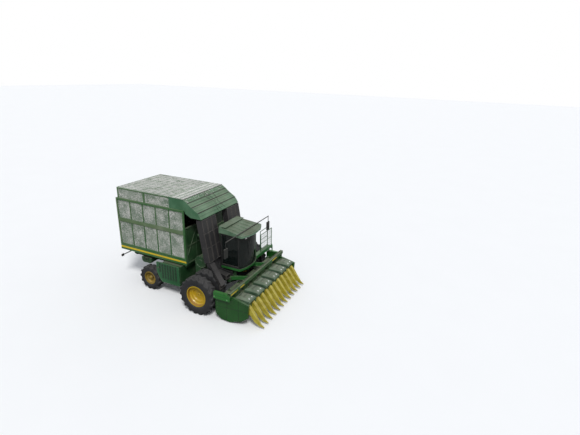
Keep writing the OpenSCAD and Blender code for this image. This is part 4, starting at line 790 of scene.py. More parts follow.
def dressLint():
    s = lint
    spots = []
    for n in range(s["streaks"]):
        x, y = random.uniform(s["rear"], s["front"]), random.uniform(-s["half"], s["half"])
        lean = random.gauss(0.0, 0.25)
        for k in range(s["perStreak"]):
            px = min(max(x + random.gauss(0, 150), s["rear"]), s["front"])
            py = min(max(y + (px - x) * lean + random.gauss(0, 26), -s["half"]), s["half"])
            spots.append((at(px, py, s["roof"]), (0, 0, lean + random.gauss(0, 0.3)),
                          (random.uniform(0.03, 0.11), random.uniform(0.012, 0.035),
                           s["thick"] * random.uniform(0.5, 1))))
    for n in range(s["edgeTufts"]):
        px = s["bend"] - abs(random.gauss(0, 75))
        py = random.uniform(-s["half"], s["half"])
        spots.append((at(px, py, s["roof"]), (0, 0, random.uniform(0, 3.1)),
                      (random.uniform(0.03, 0.09), random.uniform(0.02, 0.06),
                       s["thick"] * random.uniform(0.7, 1.1))))
    for n in range(s["slopeTufts"]):
        run, y = 0.25 + abs(random.gauss(0, 0.3)), random.uniform(-s["half"], s["half"])
        spots.append((at(-1200 + 230 * min(run, 0.95), y, 4920 - 148 * min(run, 0.95) + 2),
                      (0, 0.57, random.uniform(0, 3.1)),
                      (random.uniform(0.015, 0.05), random.uniform(0.01, 0.03), s["thick"])))
    x0, x1, z0, z1 = s["felt"]
    boxes("roofFelt", [(at(x0, -s["half"] - 20, z0), at(x1, s["half"] + 20, z1))], "screen_steel", "basket",
          0.003)
    tufts = placed("roofLint", spots, tuftTree, "screen_steel", "basket", "lintWhite", Radius=1.0)
    for face in tufts.data.polygons:
        face.use_smooth = True
    print("lint laid")


dressLint()


# Hood: dark seams between its panels, bolts, edges, and thin hoses over it

hood = dict(line=[(-1990, 4920), (-1200, 4920), (-970, 4772), (-760, 4609), (-430, 4410), (-250, 4150)],
            half=1492,
            seams=[(0, 0.05), (0, 0.62), (1, 0.05), (2, 0.05), (3, 0.05), (4, 0.06)], hoseRows=(-90, 60, 330))


def hoodPoint(segment, share, lift):
    a, b = (Vector((x, z)) for x, z in hood["line"][segment:segment + 2])
    run = b - a
    normal = Vector((-run.y, run.x)).normalized()
    if normal.y < 0:
        normal = -normal
    return a + run * share + normal * lift, run.normalized(), normal


def dressHood():
    s = hood
    seams, heads = [], []
    for segment, share in s["seams"]:
        p, along, up = hoodPoint(segment, share, 0.5)
        y = s["half"] - 3
        seams.append(bar(at(p.x, -y, p.y), at(p.x, y, p.y), (up.x, 0, up.y)))
        q = hoodPoint(segment, share, 3)[0] + along * 24
        heads += spotsAlong(at(q.x, -y + 60, q.y), at(q.x, y - 60, q.y), 12, (up.x, 0, up.y))
    bars("hoodSeams", seams, "roof_green", "basket", 0.05, 0.005, "seamAndShadeDark")
    bolts("hoodBolts", heads, "roof_green", "basket", None, 0.7)
    edges = []
    for k in range(5):
        for side in (-1, 1):
            a, b = hoodPoint(k, 0, -16)[0], hoodPoint(k, 1, -16)[0]
            edges.append(bar(at(a.x, side * (s["half"] + 3), a.y), at(b.x, side * (s["half"] + 3), b.y),
                             (0, side, 0)))
    bars("hoodEdges", edges, "roof_green", "basket", 0.03, 0.006)
    hoses = []
    for n, y in enumerate(s["hoseRows"]):
        points = []
        for k, share in ((0, 0.7), (0, 0.99), (1, 0.3), (2, 0.2), (3, 0.1), (3, 0.6), (4, 0.2), (4, 0.9)):
            p = hoodPoint(k, share, -4 if k == 0 else 12)[0]
            points.append(at(p.x, y + 90 * math.sin(1.7 * len(points) + n), p.y))
        hoses.append(smoothLine(points))
    tube("hoodHoses", hoses, "duct_black", "basket", 0.006, 8, "hoseRubber")
    print("hood dressed")


dressHood()


# Ducts: collars, dusty edge strips and bolts along the six sleeves, collars at the lower mouths

ducts = dict(top=(-378, 4075), low=(-30, 2100), depth=290, width=330, pitch=352, middle=975,
             collars=(16, 640, 1310, 1985),
             mouths=[(760, 520, 1400), (760, 1010, 1400), (1000, 1850, 1395)], mouthDepth=190, mouthWidth=301)


def sleevePoint(s, out, y):
    top, low = Vector(ducts["top"]), Vector(ducts["low"])
    along = (low - top).normalized()
    across = Vector((-along.y, along.x))
    p = top + along * s + across * out
    return at(p.x, y, p.y), Vector((along.x, 0, along.y)), Vector((across.x, 0, across.y))


def dressDucts():
    s = ducts
    half = s["depth"] / 2
    collars, strips, heads = [], [], []
    for side in (-1, 1):
        for i in (-1, 0, 1):
            y = side * (s["middle"] + i * s["pitch"])
            w = s["width"] / 2
            for station in s["collars"]:
                for out in (-1, 1):
                    a, along, across = sleevePoint(station, out * (half + 3), y - w)
                    b = sleevePoint(station, out * (half + 3), y + w)[0]
                    collars.append(bar(a, b, across))
                for edge in (-1, 1):
                    a = sleevePoint(station, -half, y + edge * (w + 3))[0]
                    b = sleevePoint(station, half, y + edge * (w + 3))[0]
                    collars.append(bar(a, b, (0, edge, 0)))
                for k in range(4):
                    spot, along, across = sleevePoint(station, half + 6, y - w + 50 + k * (2 * w - 100) / 3)
                    heads.append((spot, facing(across), (1, 1, 1)))
            for edge in (-1, 1):
                for out in (-1, 1):
                    a, along, across = sleevePoint(30, out * (half + 2), y + edge * (w - 14))
                    b = sleevePoint(1970, out * (half + 2), y + edge * (w - 14))[0]
                    strips.append(bar(a, b, across))
    bars("ductCollars", collars, "duct_black", "root", 0.034, 0.006)
    bars("ductStrips", strips, "duct_black", "root", 0.034, 0.004, "ductDusty")
    bolts("ductBolts", heads, "duct_black", "root", "boltZinc", 0.7)
    rims = []
    for side in (-1, 1):
        for x, y, z in s["mouths"]:
            d, w = s["mouthDepth"] / 2 + 3, s["mouthWidth"] / 2 + 3
            for up in (-1, 1):
                rims.append(bar(at(x - 22, side * y - w, z + up * d), at(x - 22, side * y + w, z + up * d)))
                rims.append(bar(at(x - 22, side * y + up * w, z - d), at(x - 22, side * y + up * w, z + d),
                                (0, 1, 0)))
    bars("mouthCollars", rims, "duct_black", "root", 0.036, 0.006, "ductDusty")
    print("ducts dressed")


dressDucts()


# Cab: seals, roof lip with a lighter strip as painted highlight, sill, wiper, console, liner, lever, door
# grip and latch, bolts

cab = dict(rear=230, half=760, floor=1760, roof=3370, arcX=-215, arcR=1615, corner=1210)


def arcLine(z, reach, out, count=22):
    s = cab
    r = s["arcR"] + out
    return [at(s["arcX"] + math.sqrt(r * r - y * y), y, z)
            for y in (reach * (2 * i / count - 1) for i in range(count + 1))]


def dressCab():
    s = cab
    seals = [arcLine(s["floor"] + 14, 745, 7), arcLine(s["roof"] - 16, 745, 7)]
    for z in (s["floor"] + 96, s["roof"] - 80):
        seals.append([at(s["rear"] + 60, -s["half"] + 8, z), at(s["corner"] - 70, -s["half"] + 8, z)])
    for x in (s["rear"] + 60, s["corner"] - 70):
        seals.append([at(x, -s["half"] + 8, s["floor"] + 96), at(x, -s["half"] + 8, s["roof"] - 80)])
    tube("cabSeals", seals, "cab_black", "root", 0.008, 8, "hoseRubber")
    sill = arcLine(s["floor"] - 30, 740, 8)
    # A lighter green strip along the roof's front lip: painted highlight, not a different paint
    litLip = []
    for n in range(24):
        ends = [math.radians(-27 + 54 * k / 24) for k in (n, n + 1)]
        a, b = (at(-240 + 1883 * math.cos(t), 1883 * math.sin(t), s["roof"] + 26) for t in ends)
        litLip.append(bar(a, b, (b - a).cross(Vector((0, 0, 1)))))
    bars("roofLipHighlight", litLip, "roof_green", "root", 0.038, 0.006, "lipHighlightGreen")
    bars("cabSill", [bar(a, b, (b - a).cross(Vector((0, 0, 1)))) for a, b in zip(sill, sill[1:])],
         "panel_green", "root",
         0.03, 0.01)
    x = s["arcX"] + s["arcR"] + 16
    boxes("wiperMotor", [(at(x - 14, -42, s["roof"] - 78), at(x + 30, 42, s["roof"] - 30))], "cab_black",
          "root", 0.008)
    arm = [at(x + 18, 0, s["roof"] - 60), at(x + 24, -90, s["roof"] - 260), at(x + 4, -260, s["roof"] - 700)]
    blade = [at(x - 8, -300, s["roof"] - 330), at(x + 6, -250, s["roof"] - 700),
             at(x + 8, -200, s["roof"] - 1060)]
    tube("wiperArm", [smoothLine(arm), smoothLine(blade)], "cab_black", "root", 0.007, 8)
    boxes("cabConsole", [(at(560, -420, s["floor"] + 10), at(980, -270, s["floor"] + 480)),
                         (at(520, -410, s["floor"] + 480), at(900, -280, s["floor"] + 540)),
                         (at(900, -400, s["floor"] + 520), at(930, -250, s["floor"] + 720)),
                         (at(300, 270, s["floor"] + 10), at(620, 600, s["floor"] + 330))], "cab_black",
                         "root", 0.02)
    boxes("cabLiner", [(at(s["rear"] + 60, -680, s["roof"] - 70), at(1150, 680, s["roof"] - 6)),
                       (at(s["rear"] + 54, -690, s["floor"] + 90), at(s["rear"] + 90, -500, s["roof"] - 90)),
                       (at(s["rear"] + 54, 500, s["floor"] + 90), at(s["rear"] + 90, 690, s["roof"] - 90))],
          "cab_black", "root", 0.01)
    lever = [at(760, -345, s["floor"] + 540), at(790, -345, s["floor"] + 620),
             at(800, -350, s["floor"] + 690)]
    tube("cabLever", [smoothLine(lever)], "cab_black", "root", 0.012, 10)
    grip = [at(520, s["half"] + 2, 2300), at(520, s["half"] + 45, 2320), at(520, s["half"] + 45, 2520),
            at(520, s["half"] + 2, 2540)]
    tube("doorGrip", [smoothLine(grip)], "cab_black", "cab_door", 0.011, 10)
    boxes("doorLatch", [(at(340, s["half"] - 13, 2360), at(470, s["half"] + 8, 2420))], "cab_black",
          "cab_door", 0.008)
    heads = []
    for y in (-870, 870):
        heads += spotsAlong(at(620, y * 0.86, s["roof"] + 208), at(1180, y * 0.95, s["roof"] + 134), 6,
                            (0.14, 0, 1))
    bolts("roofBolts", heads, "roof_green", "root", None, 0.8)
    feet = []
    for y in (-500, 500):
        feet += onRing(at(1260, y, s["roof"] + 137), 0.032, 4, (0, 0, 1), (0, 0, 1))
    bolts("mirrorFeet", feet, "cab_black", "root", "boltZinc", 0.7)
    print("cab dressed")


dressCab()


# Lamps and mirrors: lamp housings with a rim and a clear lens in place of the plain blocks, mirror glass

lampPlan = dict(front=[-620, -360, 360, 620], frontX=(1420, 1500), frontZ=(3280, 3369), tailX=(-5420, -5361),
                tailY=(1300, 1440), tailZ=(1200, 1320), mirrorY=1880, mirrorZ=(2820, 3240))


def dressLamps():
    s = lampPlan
    shells, rims, lenses, ambers, reds = [], [], [], [], []
    x0, x1 = s["frontX"]
    z0, z1 = s["frontZ"]
    for y in s["front"]:
        shells.append((at(x0, y - 74, z0 + 4), at(x1 - 14, y + 74, z1 - 1)))
        shells.append((at(x0 + 20, y - 60, z1 - 6), at(x1 - 30, y + 60, z1)))
        lenses.append((at(x1 - 16, y - 66, z0 + 10), at(x1 - 4, y + 66, z1 - 8)))
        rims += [(at(x1 - 18, y - 80, z0), at(x1, y + 80, z0 + 10)),
                 (at(x1 - 18, y - 80, z1 - 9), at(x1, y + 80, z1)),
                 (at(x1 - 18, y - 80, z0), at(x1, y - 68, z1)), (at(x1 - 18, y + 68, z0), at(x1, y + 80, z1))]
    a, b = s["tailX"]
    for side in (-1, 1):
        low, high = sorted((side * s["tailY"][0], side * s["tailY"][1]))
        shells.append((at(a + 12, low, s["tailZ"][0]), at(b, high, s["tailZ"][1])))
        reds.append((at(a + 1, low + 8, s["tailZ"][0] + 8), at(a + 14, high - 8, s["tailZ"][0] + 62)))
        ambers.append((at(a + 1, low + 8, s["tailZ"][0] + 68), at(a + 14, high - 8, s["tailZ"][1] - 8)))
        first, last = sorted((side * 505, side * 1300))
        shells.append((at(-5395, first, 1245), at(-5361, last, 1285)))
    shell = boxes("lampShells", shells, "lamp", "root", 0.006, "lampBlack")
    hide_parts("lamps")
    boxes("lampRims", rims, "lamp", "root", 0.003, "lampBlack")
    boxes("lampLenses", lenses, "lamp", "root", 0.005, "lensAndGlintPale")
    boxes("tailLenses", reds, "lamp", "root", 0.004, "tailRed")
    boxes("flashLenses", ambers, "lamp", "root", 0.004, "flashAmber")
    low, high = s["mirrorZ"]
    glasses = [(at(1221, side * s["mirrorY"] - 108, low + 12), at(1226, side * s["mirrorY"] + 108, high - 12))
               for side in (-1, 1)]
    boxes("mirrorGlasses", glasses, "cab_black", "root", 0.002, "mirrorGlass")
    rims = []
    for side in (-1, 1):
        y = side * s["mirrorY"]
        rims += [(at(1219, y - 120, z), at(1229, y + 120, z + 12)) for z in (low, high - 12)]
        rims += [(at(1219, y + e, low), at(1229, y + e + 12, high)) for e in (-120, 108)]
    boxes("mirrorRims", rims, "cab_black", "root", 0.003)
    print("lamps and mirrors dressed")


dressLamps()


# Platform, ladder and rails, exhaust, rail hoses and bolts, tanks and fans

chassis = dict(railY=615, hoseZ=(1112, 1146), treadPitch=62)


def treadSpots(x0, x1, y0, y1, z, pitch):
    spots = []
    for i in range(int((x1 - x0) / pitch)):
        for k in range(int((y1 - y0) / pitch)):
            lean = 0.8 if (i + k) % 2 else -0.8
            place = at(x0 + pitch * (i + 0.5), y0 + pitch * (k + 0.5), z + 1)
            spots.append((place, (0, 0, lean), (0.03, 1, 1)))
    return spots


def dressPlatform():
    s = chassis
    tread = treadSpots(900, 1180, 822, 2490, 1700, s["treadPitch"])
    tread += treadSpots(212, 900, 822, 1262, 1700, s["treadPitch"])
    bars("platformTread", tread, "panel_green", "root", 0.007, 0.004)
    steps = []
    for n in range(5):
        for k in range(3):
            steps.append(bar(at(896, 2514 + k * 20, 481.5 + 270 * n),
                             at(1164, 2514 + k * 20, 481.5 + 270 * n)))
    bars("ladderGrips", steps, "panel_green", "root", 0.006, 0.004)
    feet = []
    for x, y in ((920, 1700), (920, 2460), (1160, 1330), (1160, 2460)):
        feet += onRing(at(x, y, 1702), 0.03, 4, (0, 0, 1), (0, 0, 1))
    bolts("railFeet", feet, "rail_green", "root", "boltZinc", 0.6)
    hoops = []
    for n in range(7):
        z = 1830 + 120 * n
        hoops.append(smoothLine([at(1160, 1336, z), at(1166, 1600, z + 26), at(1168, 1900, z + 34),
                                 at(1166, 2200, z + 26),
                                 at(1160, 2454, z)]))
    for y in range(1450, 2460, 126):
        hoops.append([at(1163, y, 1704), at(1167, y, 2100), at(1163, y, 2690)])
    tube("railHoops", hoops, "rail_green", "root", 0.005, 6)


exhaust = dict(x=-700, clampZ=(2480, 3420, 3650), shieldZ=2950, shieldR=0.101, slots=14)


def dressExhaust():
    s = exhaust
    pipe = []
    for z in s["clampZ"]:
        pipe.append(([(0.071, -0.012), (0.079, -0.012), (0.079, 0.012), (0.071, 0.012)], at(s["x"], 0, z),
                     (0, 0, 1)))
    turnedPieces("pipeClamps", pipe, "exhaust_metal", "root", None, 28)
    middle = at(s["x"], 0, s["shieldZ"])
    slots = onRing(middle, s["shieldR"], s["slots"], (0, 0, 1), (0, 0, 1))
    # Dark strips on the heat shield stand for its slots: painted shade of the openings
    shield = []
    for place, turn, size in slots:
        out = (place - middle).normalized()
        for z in (-330, -110, 110, 330):
            shield.append(bar(place + Vector((0, 0, (z - 80) / 1000)),
                              place + Vector((0, 0, (z + 80) / 1000)), out))
    bars("pipeSlotShade", shield, "exhaust_metal", "root", 0.014, 0.003, "seamAndShadeDark")
    turnedPieces("rainCap", [([(0.001, 0.01), (0.06, 0.01), (0.078, 0.0), (0.078, -0.004), (0.001, -0.004)],
                              at(-690, 0, 3912), (-0.25, 0, 1))], "exhaust_metal", "root", None, 28)


def dressRails():
    s = chassis
    hoses = []
    for z in s["hoseZ"]:
        line = [at(x, -s["railY"] - 12 - 3 * math.sin(x / 300),
                   z + 5 * math.sin(x / 210)) for x in range(-5000, 480, 180)]
        hoses.append(smoothLine(line, 3))
    for y in (-380, 380):
        hoses.append(smoothLine([at(-120, y, 1075), at(-200, y, 1150), at(-420, y * 1.1, 1200),
                                 at(-620, y * 1.25, 1180)]))
    tube("chassisHoses", hoses, "dark_iron", "root", 0.009, 8, "hoseRubber")
    clamps = [(at(x - 15, -s["railY"] - 26, 1098), at(x + 15, -s["railY"], 1164))
              for x in range(-4800, 400, 740)]
    boxes("hoseClamps", clamps, "frame_green", "root", 0.004)
    heads = []
    for side in (-1, 1):
        for x in (-4290, -1280):
            for z in (1230, 1130):
                heads += spotsAlong(at(x - 45, side * s["railY"], z), at(x + 45, side * s["railY"], z), 3,
                                    (0, side, 0))
        for x in (-2640, -700, 260, -3440, -3240):
            heads += [(at(x, side * s["railY"], z), facing((0, side, 0)), (1, 1, 1))
                      for z in (1100, 1175, 1250)]
        heads += onRing(at(740, side * 887, 1230), 0.05, 6, (0, 1, 0), (0, side, 0))
    bolts("frameBolts", heads, "frame_green", "root")


def dressTanks():
    straps = []
    for side in (-1, 1):
        for x in (-3780, -3520):
            low, high = sorted((side * 1500, side * 1504))
            straps.append((at(x - 20, low, 1400), at(x + 20, high, 1560)))
            low, high = sorted((side * 620, side * 1504))
            straps.append((at(x - 20, low, 1560), at(x + 20, high, 1564)))
    boxes("tankStraps", straps, "dark_iron", "root", 0.001)
    caps = [([(0.001, 0.03), (0.048, 0.03), (0.052, 0.024), (0.052, 0.0), (0.04, 0.0)],
             at(-3650, side * 1500, 1490),
             (0, side, 0)) for side in (-1, 1)]
    turnedPieces("tankCaps", caps, "dark_iron", "root", None, 24)


def dressFans():
    rings = []
    for side in (-1, 1):
        rings.append(([(0.31, -0.005), (0.31, 0.014), (0.26, 0.014), (0.25, 0.004), (0.12, 0.004),
                       (0.11, 0.02),
                       (0.001, 0.02)], at(-640, side * 1180, 1890), (0, side, 0)))
    turnedPieces("fanFaces", rings, "frame_green", "root", None, 36)
    heads = []
    for side in (-1, 1):
        heads += onRing(at(-640, side * 1194, 1890), 0.285, 14, (0, 1, 0), (0, side, 0))
    bolts("fanBolts", heads, "frame_green", "root", "boltZinc", 0.8)


dressPlatform()
dressExhaust()
dressRails()
dressTanks()
dressFans()
print("chassis dressed")


# Service doors: a dark sheet behind the slots and dark rings round them as painted shade, hems, latches and
# bolts

service = dict(front=-1420, rear=-2740, high=1690, face=1800, columns=7, rows=5, pitchX=155, pitchZ=150,
               firstX=190,
               firstZ=130, slotLean=-18, slotSides=20, slotRadii=(22, 44, 46), slotLifts=(1.5, 1.5, 0))


def dressDoors():
    s = service
    for name, side in (("right", -1), ("left", 1)):
        y = side * (s["face"] - 16)
        # A dark sheet behind the slots: painted shade in place of the dark space behind the door
        back = [(s["front"] - 32, 732), (s["front"] - 32, 1658), (s["rear"] + 32, 1658),
                (s["rear"] + 32, 1174),
                (s["rear"] + 217, 814), (s["rear"] + 312, 732)]

        def buildShadeBack(bm):
            inner = [bm.verts.new(at(x, y, z)) for x, z in back]
            outer = [bm.verts.new(at(x, y + side * 2.5, z)) for x, z in back]
            count = len(back)
            bm.faces.new(inner)
            bm.faces.new(outer)
            for k in range(count):
                bm.faces.new((inner[k], inner[(k + 1) % count], outer[(k + 1) % count], outer[k]))

        meshPiece("doorShadeBack_" + name, buildShadeBack, "panel_green", "service_door_" + name, 0.0, False,
                  "seamAndShadeDark")
        out = side * s["face"]

        # Dark rings round each slot: painted shadow that makes the slots read deeper
        def buildShadeRings(bm):
            lean, sides = math.radians(s["slotLean"]), s["slotSides"]
            for c, r in [(c, r) for c in range(s["columns"]) for r in range(s["rows"]) if r < 3 or c > 0]:
                middle = Vector((s["rear"] + s["firstX"] + c * s["pitchX"],
                                 s["high"] - s["firstZ"] - r * s["pitchZ"]))
                rings = [[], [], []]
                for n in range(sides):
                    a = 2 * math.pi * n / sides
                    for ring, radius, lift in zip(rings, s["slotRadii"], s["slotLifts"]):
                        u = radius * math.cos(a)
                        v = radius * math.sin(a) * 0.9 + (46 if math.sin(a) > 0 else -46)
                        px = middle.x + u * math.cos(lean) - v * math.sin(lean)
                        pz = middle.y + u * math.sin(lean) + v * math.cos(lean)
                        ring.append(bm.verts.new(at(px, side * (s["face"] + lift), pz)))
                for inner, outer in zip(rings, rings[1:]):
                    for n in range(sides):
                        m = (n + 1) % sides
                        bm.faces.new((inner[n], inner[m], outer[m], outer[n]))

        meshPiece("slotShadeRings_" + name, buildShadeRings, "panel_green", "service_door_" + name, 0.0, False,
                  "seamAndShadeDark")
        outline = [(s["front"] - 4, 704), (s["front"] - 4, 1686), (s["rear"] + 4, 1686),
                   (s["rear"] + 4, 1150),
                   (s["rear"] + 192, 794), (s["rear"] + 300, 704)]
        rim = [bar(at(a[0], out + side * 3, a[1]), at(b[0], out + side * 3, b[1]), (0, side, 0))
               for a, b in zip(outline, outline[1:] + outline[:1])]
        bars("doorHem_" + name, rim, "panel_green", "service_door_" + name, 0.028, 0.006, "hemGreen")
        low, high = sorted((out, out + side * 14))
        boxes("doorLatch_" + name, [(at(s["rear"] + 60, low, 1380), at(s["rear"] + 130, high, 1440))],
              "panel_green",
              "service_door_" + name, 0.004, "boltZinc")
        heads = spotsAlong(at(s["rear"] + 50, out + side * 6, 1672),
                           at(s["front"] - 50, out + side * 6, 1672), 9,
                           (0, side, 0))
        bolts("doorBolts_" + name, heads, "panel_green", "service_door_" + name, None, 0.7)
    print("service doors dressed")


dressDoors()


# Header: toolbar clamps, hoses and stripes, row unit seams, spindles, caps with pale dots as painted glints,
# lifters, and shields with lighter skins and pale discs as painted light

header = dict(units=[(i - 2.5) * 762 for i in range(6)], unitHalf=320, barX=1760,
              barZ=1480, barHalf=75, drumX=(1290, 2030), drumY=185, lifterY=190)


def dressToolbar():
    s = header
    pads, heads = [], []
    x, z, w = s["barX"], s["barZ"], s["barHalf"]
    for y in s["units"]:
        for e in (-70, 70):
            for a, b in ((-w - 7, -w), (w, w + 7)):
                pads.append((at(x + a, y + e - 22, z - w - 7), at(x + b, y + e + 22, z + w + 7)))
            pads.append((at(x - w - 7, y + e - 22, z + w), at(x + w + 7, y + e + 22, z + w + 7)))
            heads += [(at(x + g, y + e, z + w + 8), facing((0, 0, 1)), (1, 1, 1)) for g in (-60, 60)]
    boxes("barClamps", pads, "panel_green", "header", 0.003)
    stripes = [(at(x + w, a, z - 30), at(x + w + 4, b, z + 22)) for a,
               b in ((-2440, -1900), (-1700, -1380), (1300, 1750))]
    boxes("barStripes", stripes, "panel_green", "header", 0.001, "stripeYellow")
    lines = []
    for k, (g, h) in enumerate(((-44, 12), (-20, 11))):
        lines.append(smoothLine([at(x + g + 6 * math.sin(n * 1.3 + k), -2380 + n * 170,
                                    z + w + h + 4 * math.sin(n * 0.9 + k))
                                 for n in range(29)], 3))
    for i, y in enumerate(s["units"]):
        lines.append(smoothLine([at(x - 40, y + 130, z + w + 16), at(x - 110, y + 135, z + 60),
                                 at(x - 150, y + 130, z - 120),
                                 at(x - 190, y + 110, 1250), at(x - 210, y + 90, 1092)]))
    tube("headerHoses", lines, "dark_iron", "header", 0.008, 8, "hoseRubber")
    return heads


def dressUnits(heads):
    s = header
    seams, hinges, flanges = [], [], []
    half = s["unitHalf"]
    for y in s["units"]:
        for side in (-1, 1):
            out = y + side * (half + 1.5)
            if abs(out) < 2200:
                for px in (1330, 1700, 2080):
                    seams.append(bar(at(px, out, 330), at(px, out, 1040), (0, side, 0)))
                seams.append(bar(at(1000, out, 720), at(2420, out, 720), (0, side, 0)))
            edge = y + side * 72
            flanges.append(bar(at(2453, edge, 440), at(2453, edge, 925), (1, 0, 0)))
            flanges.append(bar(at(2453, y + side * (half - 10), 440), at(2453, y + side * (half - 10), 1010),
                               (1, 0, 0)))
            heads += [(at(2456, y + side * (half - 10), pz), facing((1, 0, 0)), (1, 1, 1))
                      for pz in (500, 640, 780, 920)]
            heads += [(at(px, y + side * (half - 30), 1081), facing((0, 0, 1)), (1, 1, 1))
                      for px in (1120, 1380, 1640, 2300)]
        flanges.append(bar(at(2453, y - 72, 936), at(2453, y + 72, 936), (1, 0, 0)))
        for px in (1080, 1290, 1500):
            hinges.append((at(px - 40, y - 250, 1080), at(px + 40, y - 222, 1092)))
            hinges.append((at(px - 14, y + 236, 1080), at(px + 14, y + 262, 1096)))
    bars("unitSeams", seams, "panel_green", "header", 0.012, 0.003, "seamAndShadeDark")
    bars("unitFlanges", flanges, "panel_green", "header", 0.02, 0.006)
    boxes("unitHinges", hinges, "panel_green", "header", 0.004, "boltZinc")
    bolts("headerBolts", heads, "panel_green", "header", "boltZinc", 0.85)


def dressSpindles():
    s = header
    spindles = []
    for y in s["units"]:
        for dx in s["drumX"]:
            for k in range(8):
                a = math.radians(45 * k)
                px, py = dx + 97 * math.cos(a), y + s["drumY"] + 97 * math.sin(a)
                lean = Vector((-math.sin(a) * 0.35 + math.cos(a), math.cos(a) * 0.35 + math.sin(a), 0))
                reach = 0.018 if (py - y) > 120 or abs(px - dx) > 60 else 0.03
                for n in range(15):
                    spot = at(px, py, 240 + n * 46) + lean.normalized() * reach
                    spindles.append((spot, facing(lean), (1, 1, 1)))
    placed("spindles", spindles, spindleTree, "drum_steel", "header", None, Tip_Radius=0.0025,
           Root_Radius=0.007,
           Length=0.036)


def dressCaps():
    s = header
    capSeams, latches = [], []
    for y in s["units"]:
        for px in (1990, 2200):
            capSeams.append(bar(at(px, y - 170, 1311.5), at(px, y + 170, 1311.5)))
        for side in (-1, 1):
            capSeams.append(bar(at(1900, y + side * 266.5, 1120), at(2480, y + side * 266.5, 1120),
                                (0, side, 0)))
            latches.append((at(2240, y + side * 150 - 14, 1304), at(2300, y + side * 150 + 14, 1318)))
            latches.append((at(2090, y + side * 60 - 26, 1307), at(2110, y + side * 60 + 26, 1317)))
    bars("capSeams", capSeams, "roof_green", "header", 0.018, 0.004, "seamAndShadeDark")
    boxes("capLatches", latches, "roof_green", "header", 0.003, "boltZinc")


def dressLifters():
    s = header
    ridges, tips = [], []
    for y in s["units"]:
        for side in (-1, 1):
            ly = y + side * s["lifterY"]
            for a, b in (((2512, 1000), (2640, 853)), ((2650, 842), (2850, 564)), ((2862, 552), (3062, 267))):
                ridges.append(bar(at(a[0], ly, a[1] + 2), at(b[0], ly, b[1] + 2), (0.8, 0, 0.6)))
            for px, pz in ((2475, 940), (2475, 700), (2530, 820)):
                tips += [(at(px, ly + e * 75, pz), facing((0, e, 0)), (1, 1, 1)) for e in (-1, 1)]
    bars("lifterRidges", ridges, "lifter_yellow", "header", 0.012, 0.008)
    bolts("lifterBolts", tips, "lifter_yellow", "header", "boltZinc", 0.8)


# Pale round dots at the front of each unit cap: painted highlights standing in for glints, not lamps
def dressCapGlints():
    s = header
    lamps = [([(0.001, 0.012), (0.022, 0.010), (0.032, 0.0), (0.03, -0.006)], at(2456, y + e, 1262),
              (0.5, 0, 0.87))
             for y in s["units"] for e in (-110, 110)]
    turnedPieces("capGlintDots", lamps, "roof_green", "header", "lensAndGlintPale", 16)


def dressShields():
    # Brighter green skins over the end covers' side and top: painted light on their lit faces
    litSkins = []
    for side in (-1, 1):
        low, high = sorted((side * 2470, side * 2473))
        litSkins.append((at(958, low, 1136), at(1782, high, 1434)))
        low, high = sorted((side * 2334, side * 2466))
        litSkins.append((at(958, low, 1440), at(1782, high, 1443)))
    boxes("coverLitSkins", litSkins, "panel_green", "header", 0.001, "coverLitGreen")
    shield, caps = [], []
    for side in (-1, 1):
        y = side * 2331.5
        for a, b in (((1000, 700), (2590, 780)), ((1500, 120), (1560, 1280)), ((2100, 240), (2120, 1210))):
            shield.append(bar(at(a[0], y, a[1]), at(b[0], y, b[1]), (0, side, 0)))
        shield.append(bar(at(1000, side * 2474, 1290), at(1780, side * 2474, 1290), (0, side, 0)))
        # Pale round discs on the shield: painted highlights standing in for a reflection
        caps += [([(0.001, 0.008), (0.02, 0.008), (0.026, 0.0), (0.02, -0.004)], at(px, side * 2472, pz),
                  (0, side, 0))
                 for px, pz in ((1000, 1225), (1640, 1200))]
    bars("shieldSeams", shield, "panel_green", "header", 0.012, 0.003, "seamAndShadeDark")
    turnedPieces("shieldGlintCaps", caps, "panel_green", "header", "shieldGlintPale", 20)
    rivets = []
    for side in (-1, 1):
        rivets += spotsAlong(at(1040, side * 2331, 380), at(1040, side * 2331, 1020), 6, (0, side, 0))
        rivets += spotsAlong(at(1700, side * 2331, 1250), at(2520, side * 2331, 1090), 8, (0, side, 0))
        rivets += spotsAlong(at(1020, side * 2472, 1150), at(1680, side * 2472, 1150), 7, (0, side, 0))
    bolts("shieldBolts", rivets, "panel_green", "header", None, 0.8)


dressUnits(dressToolbar())
dressSpindles()
dressCaps()
dressLifters()
dressCapGlints()
dressShields()
print("header dressed")


# Wheels: tyres with rounded lugs in place of the coarse ones, nuts, valves, hub rings, and darker orange
# liners inside the front rims as painted shade

wheels = dict(frontY=(1530, 2240), frontR=890, frontWidth=460, frontRim=500, frontRimWidth=370, frontLugs=18,
              rearX=-3340, rearY=1545, rearR=620, rearWidth=370, rearRim=330, rearRimWidth=290, rearLugs=13,
              lugHeight=42,
              lugShares=(0.25, 0.33, 0.67, 0.75), stepsPerLug=18)


def smoothStep(low, high, value):
    t = min(max((value - low) / (high - low), 0.0), 1.0)
    return t * t * (3 - 2 * t)


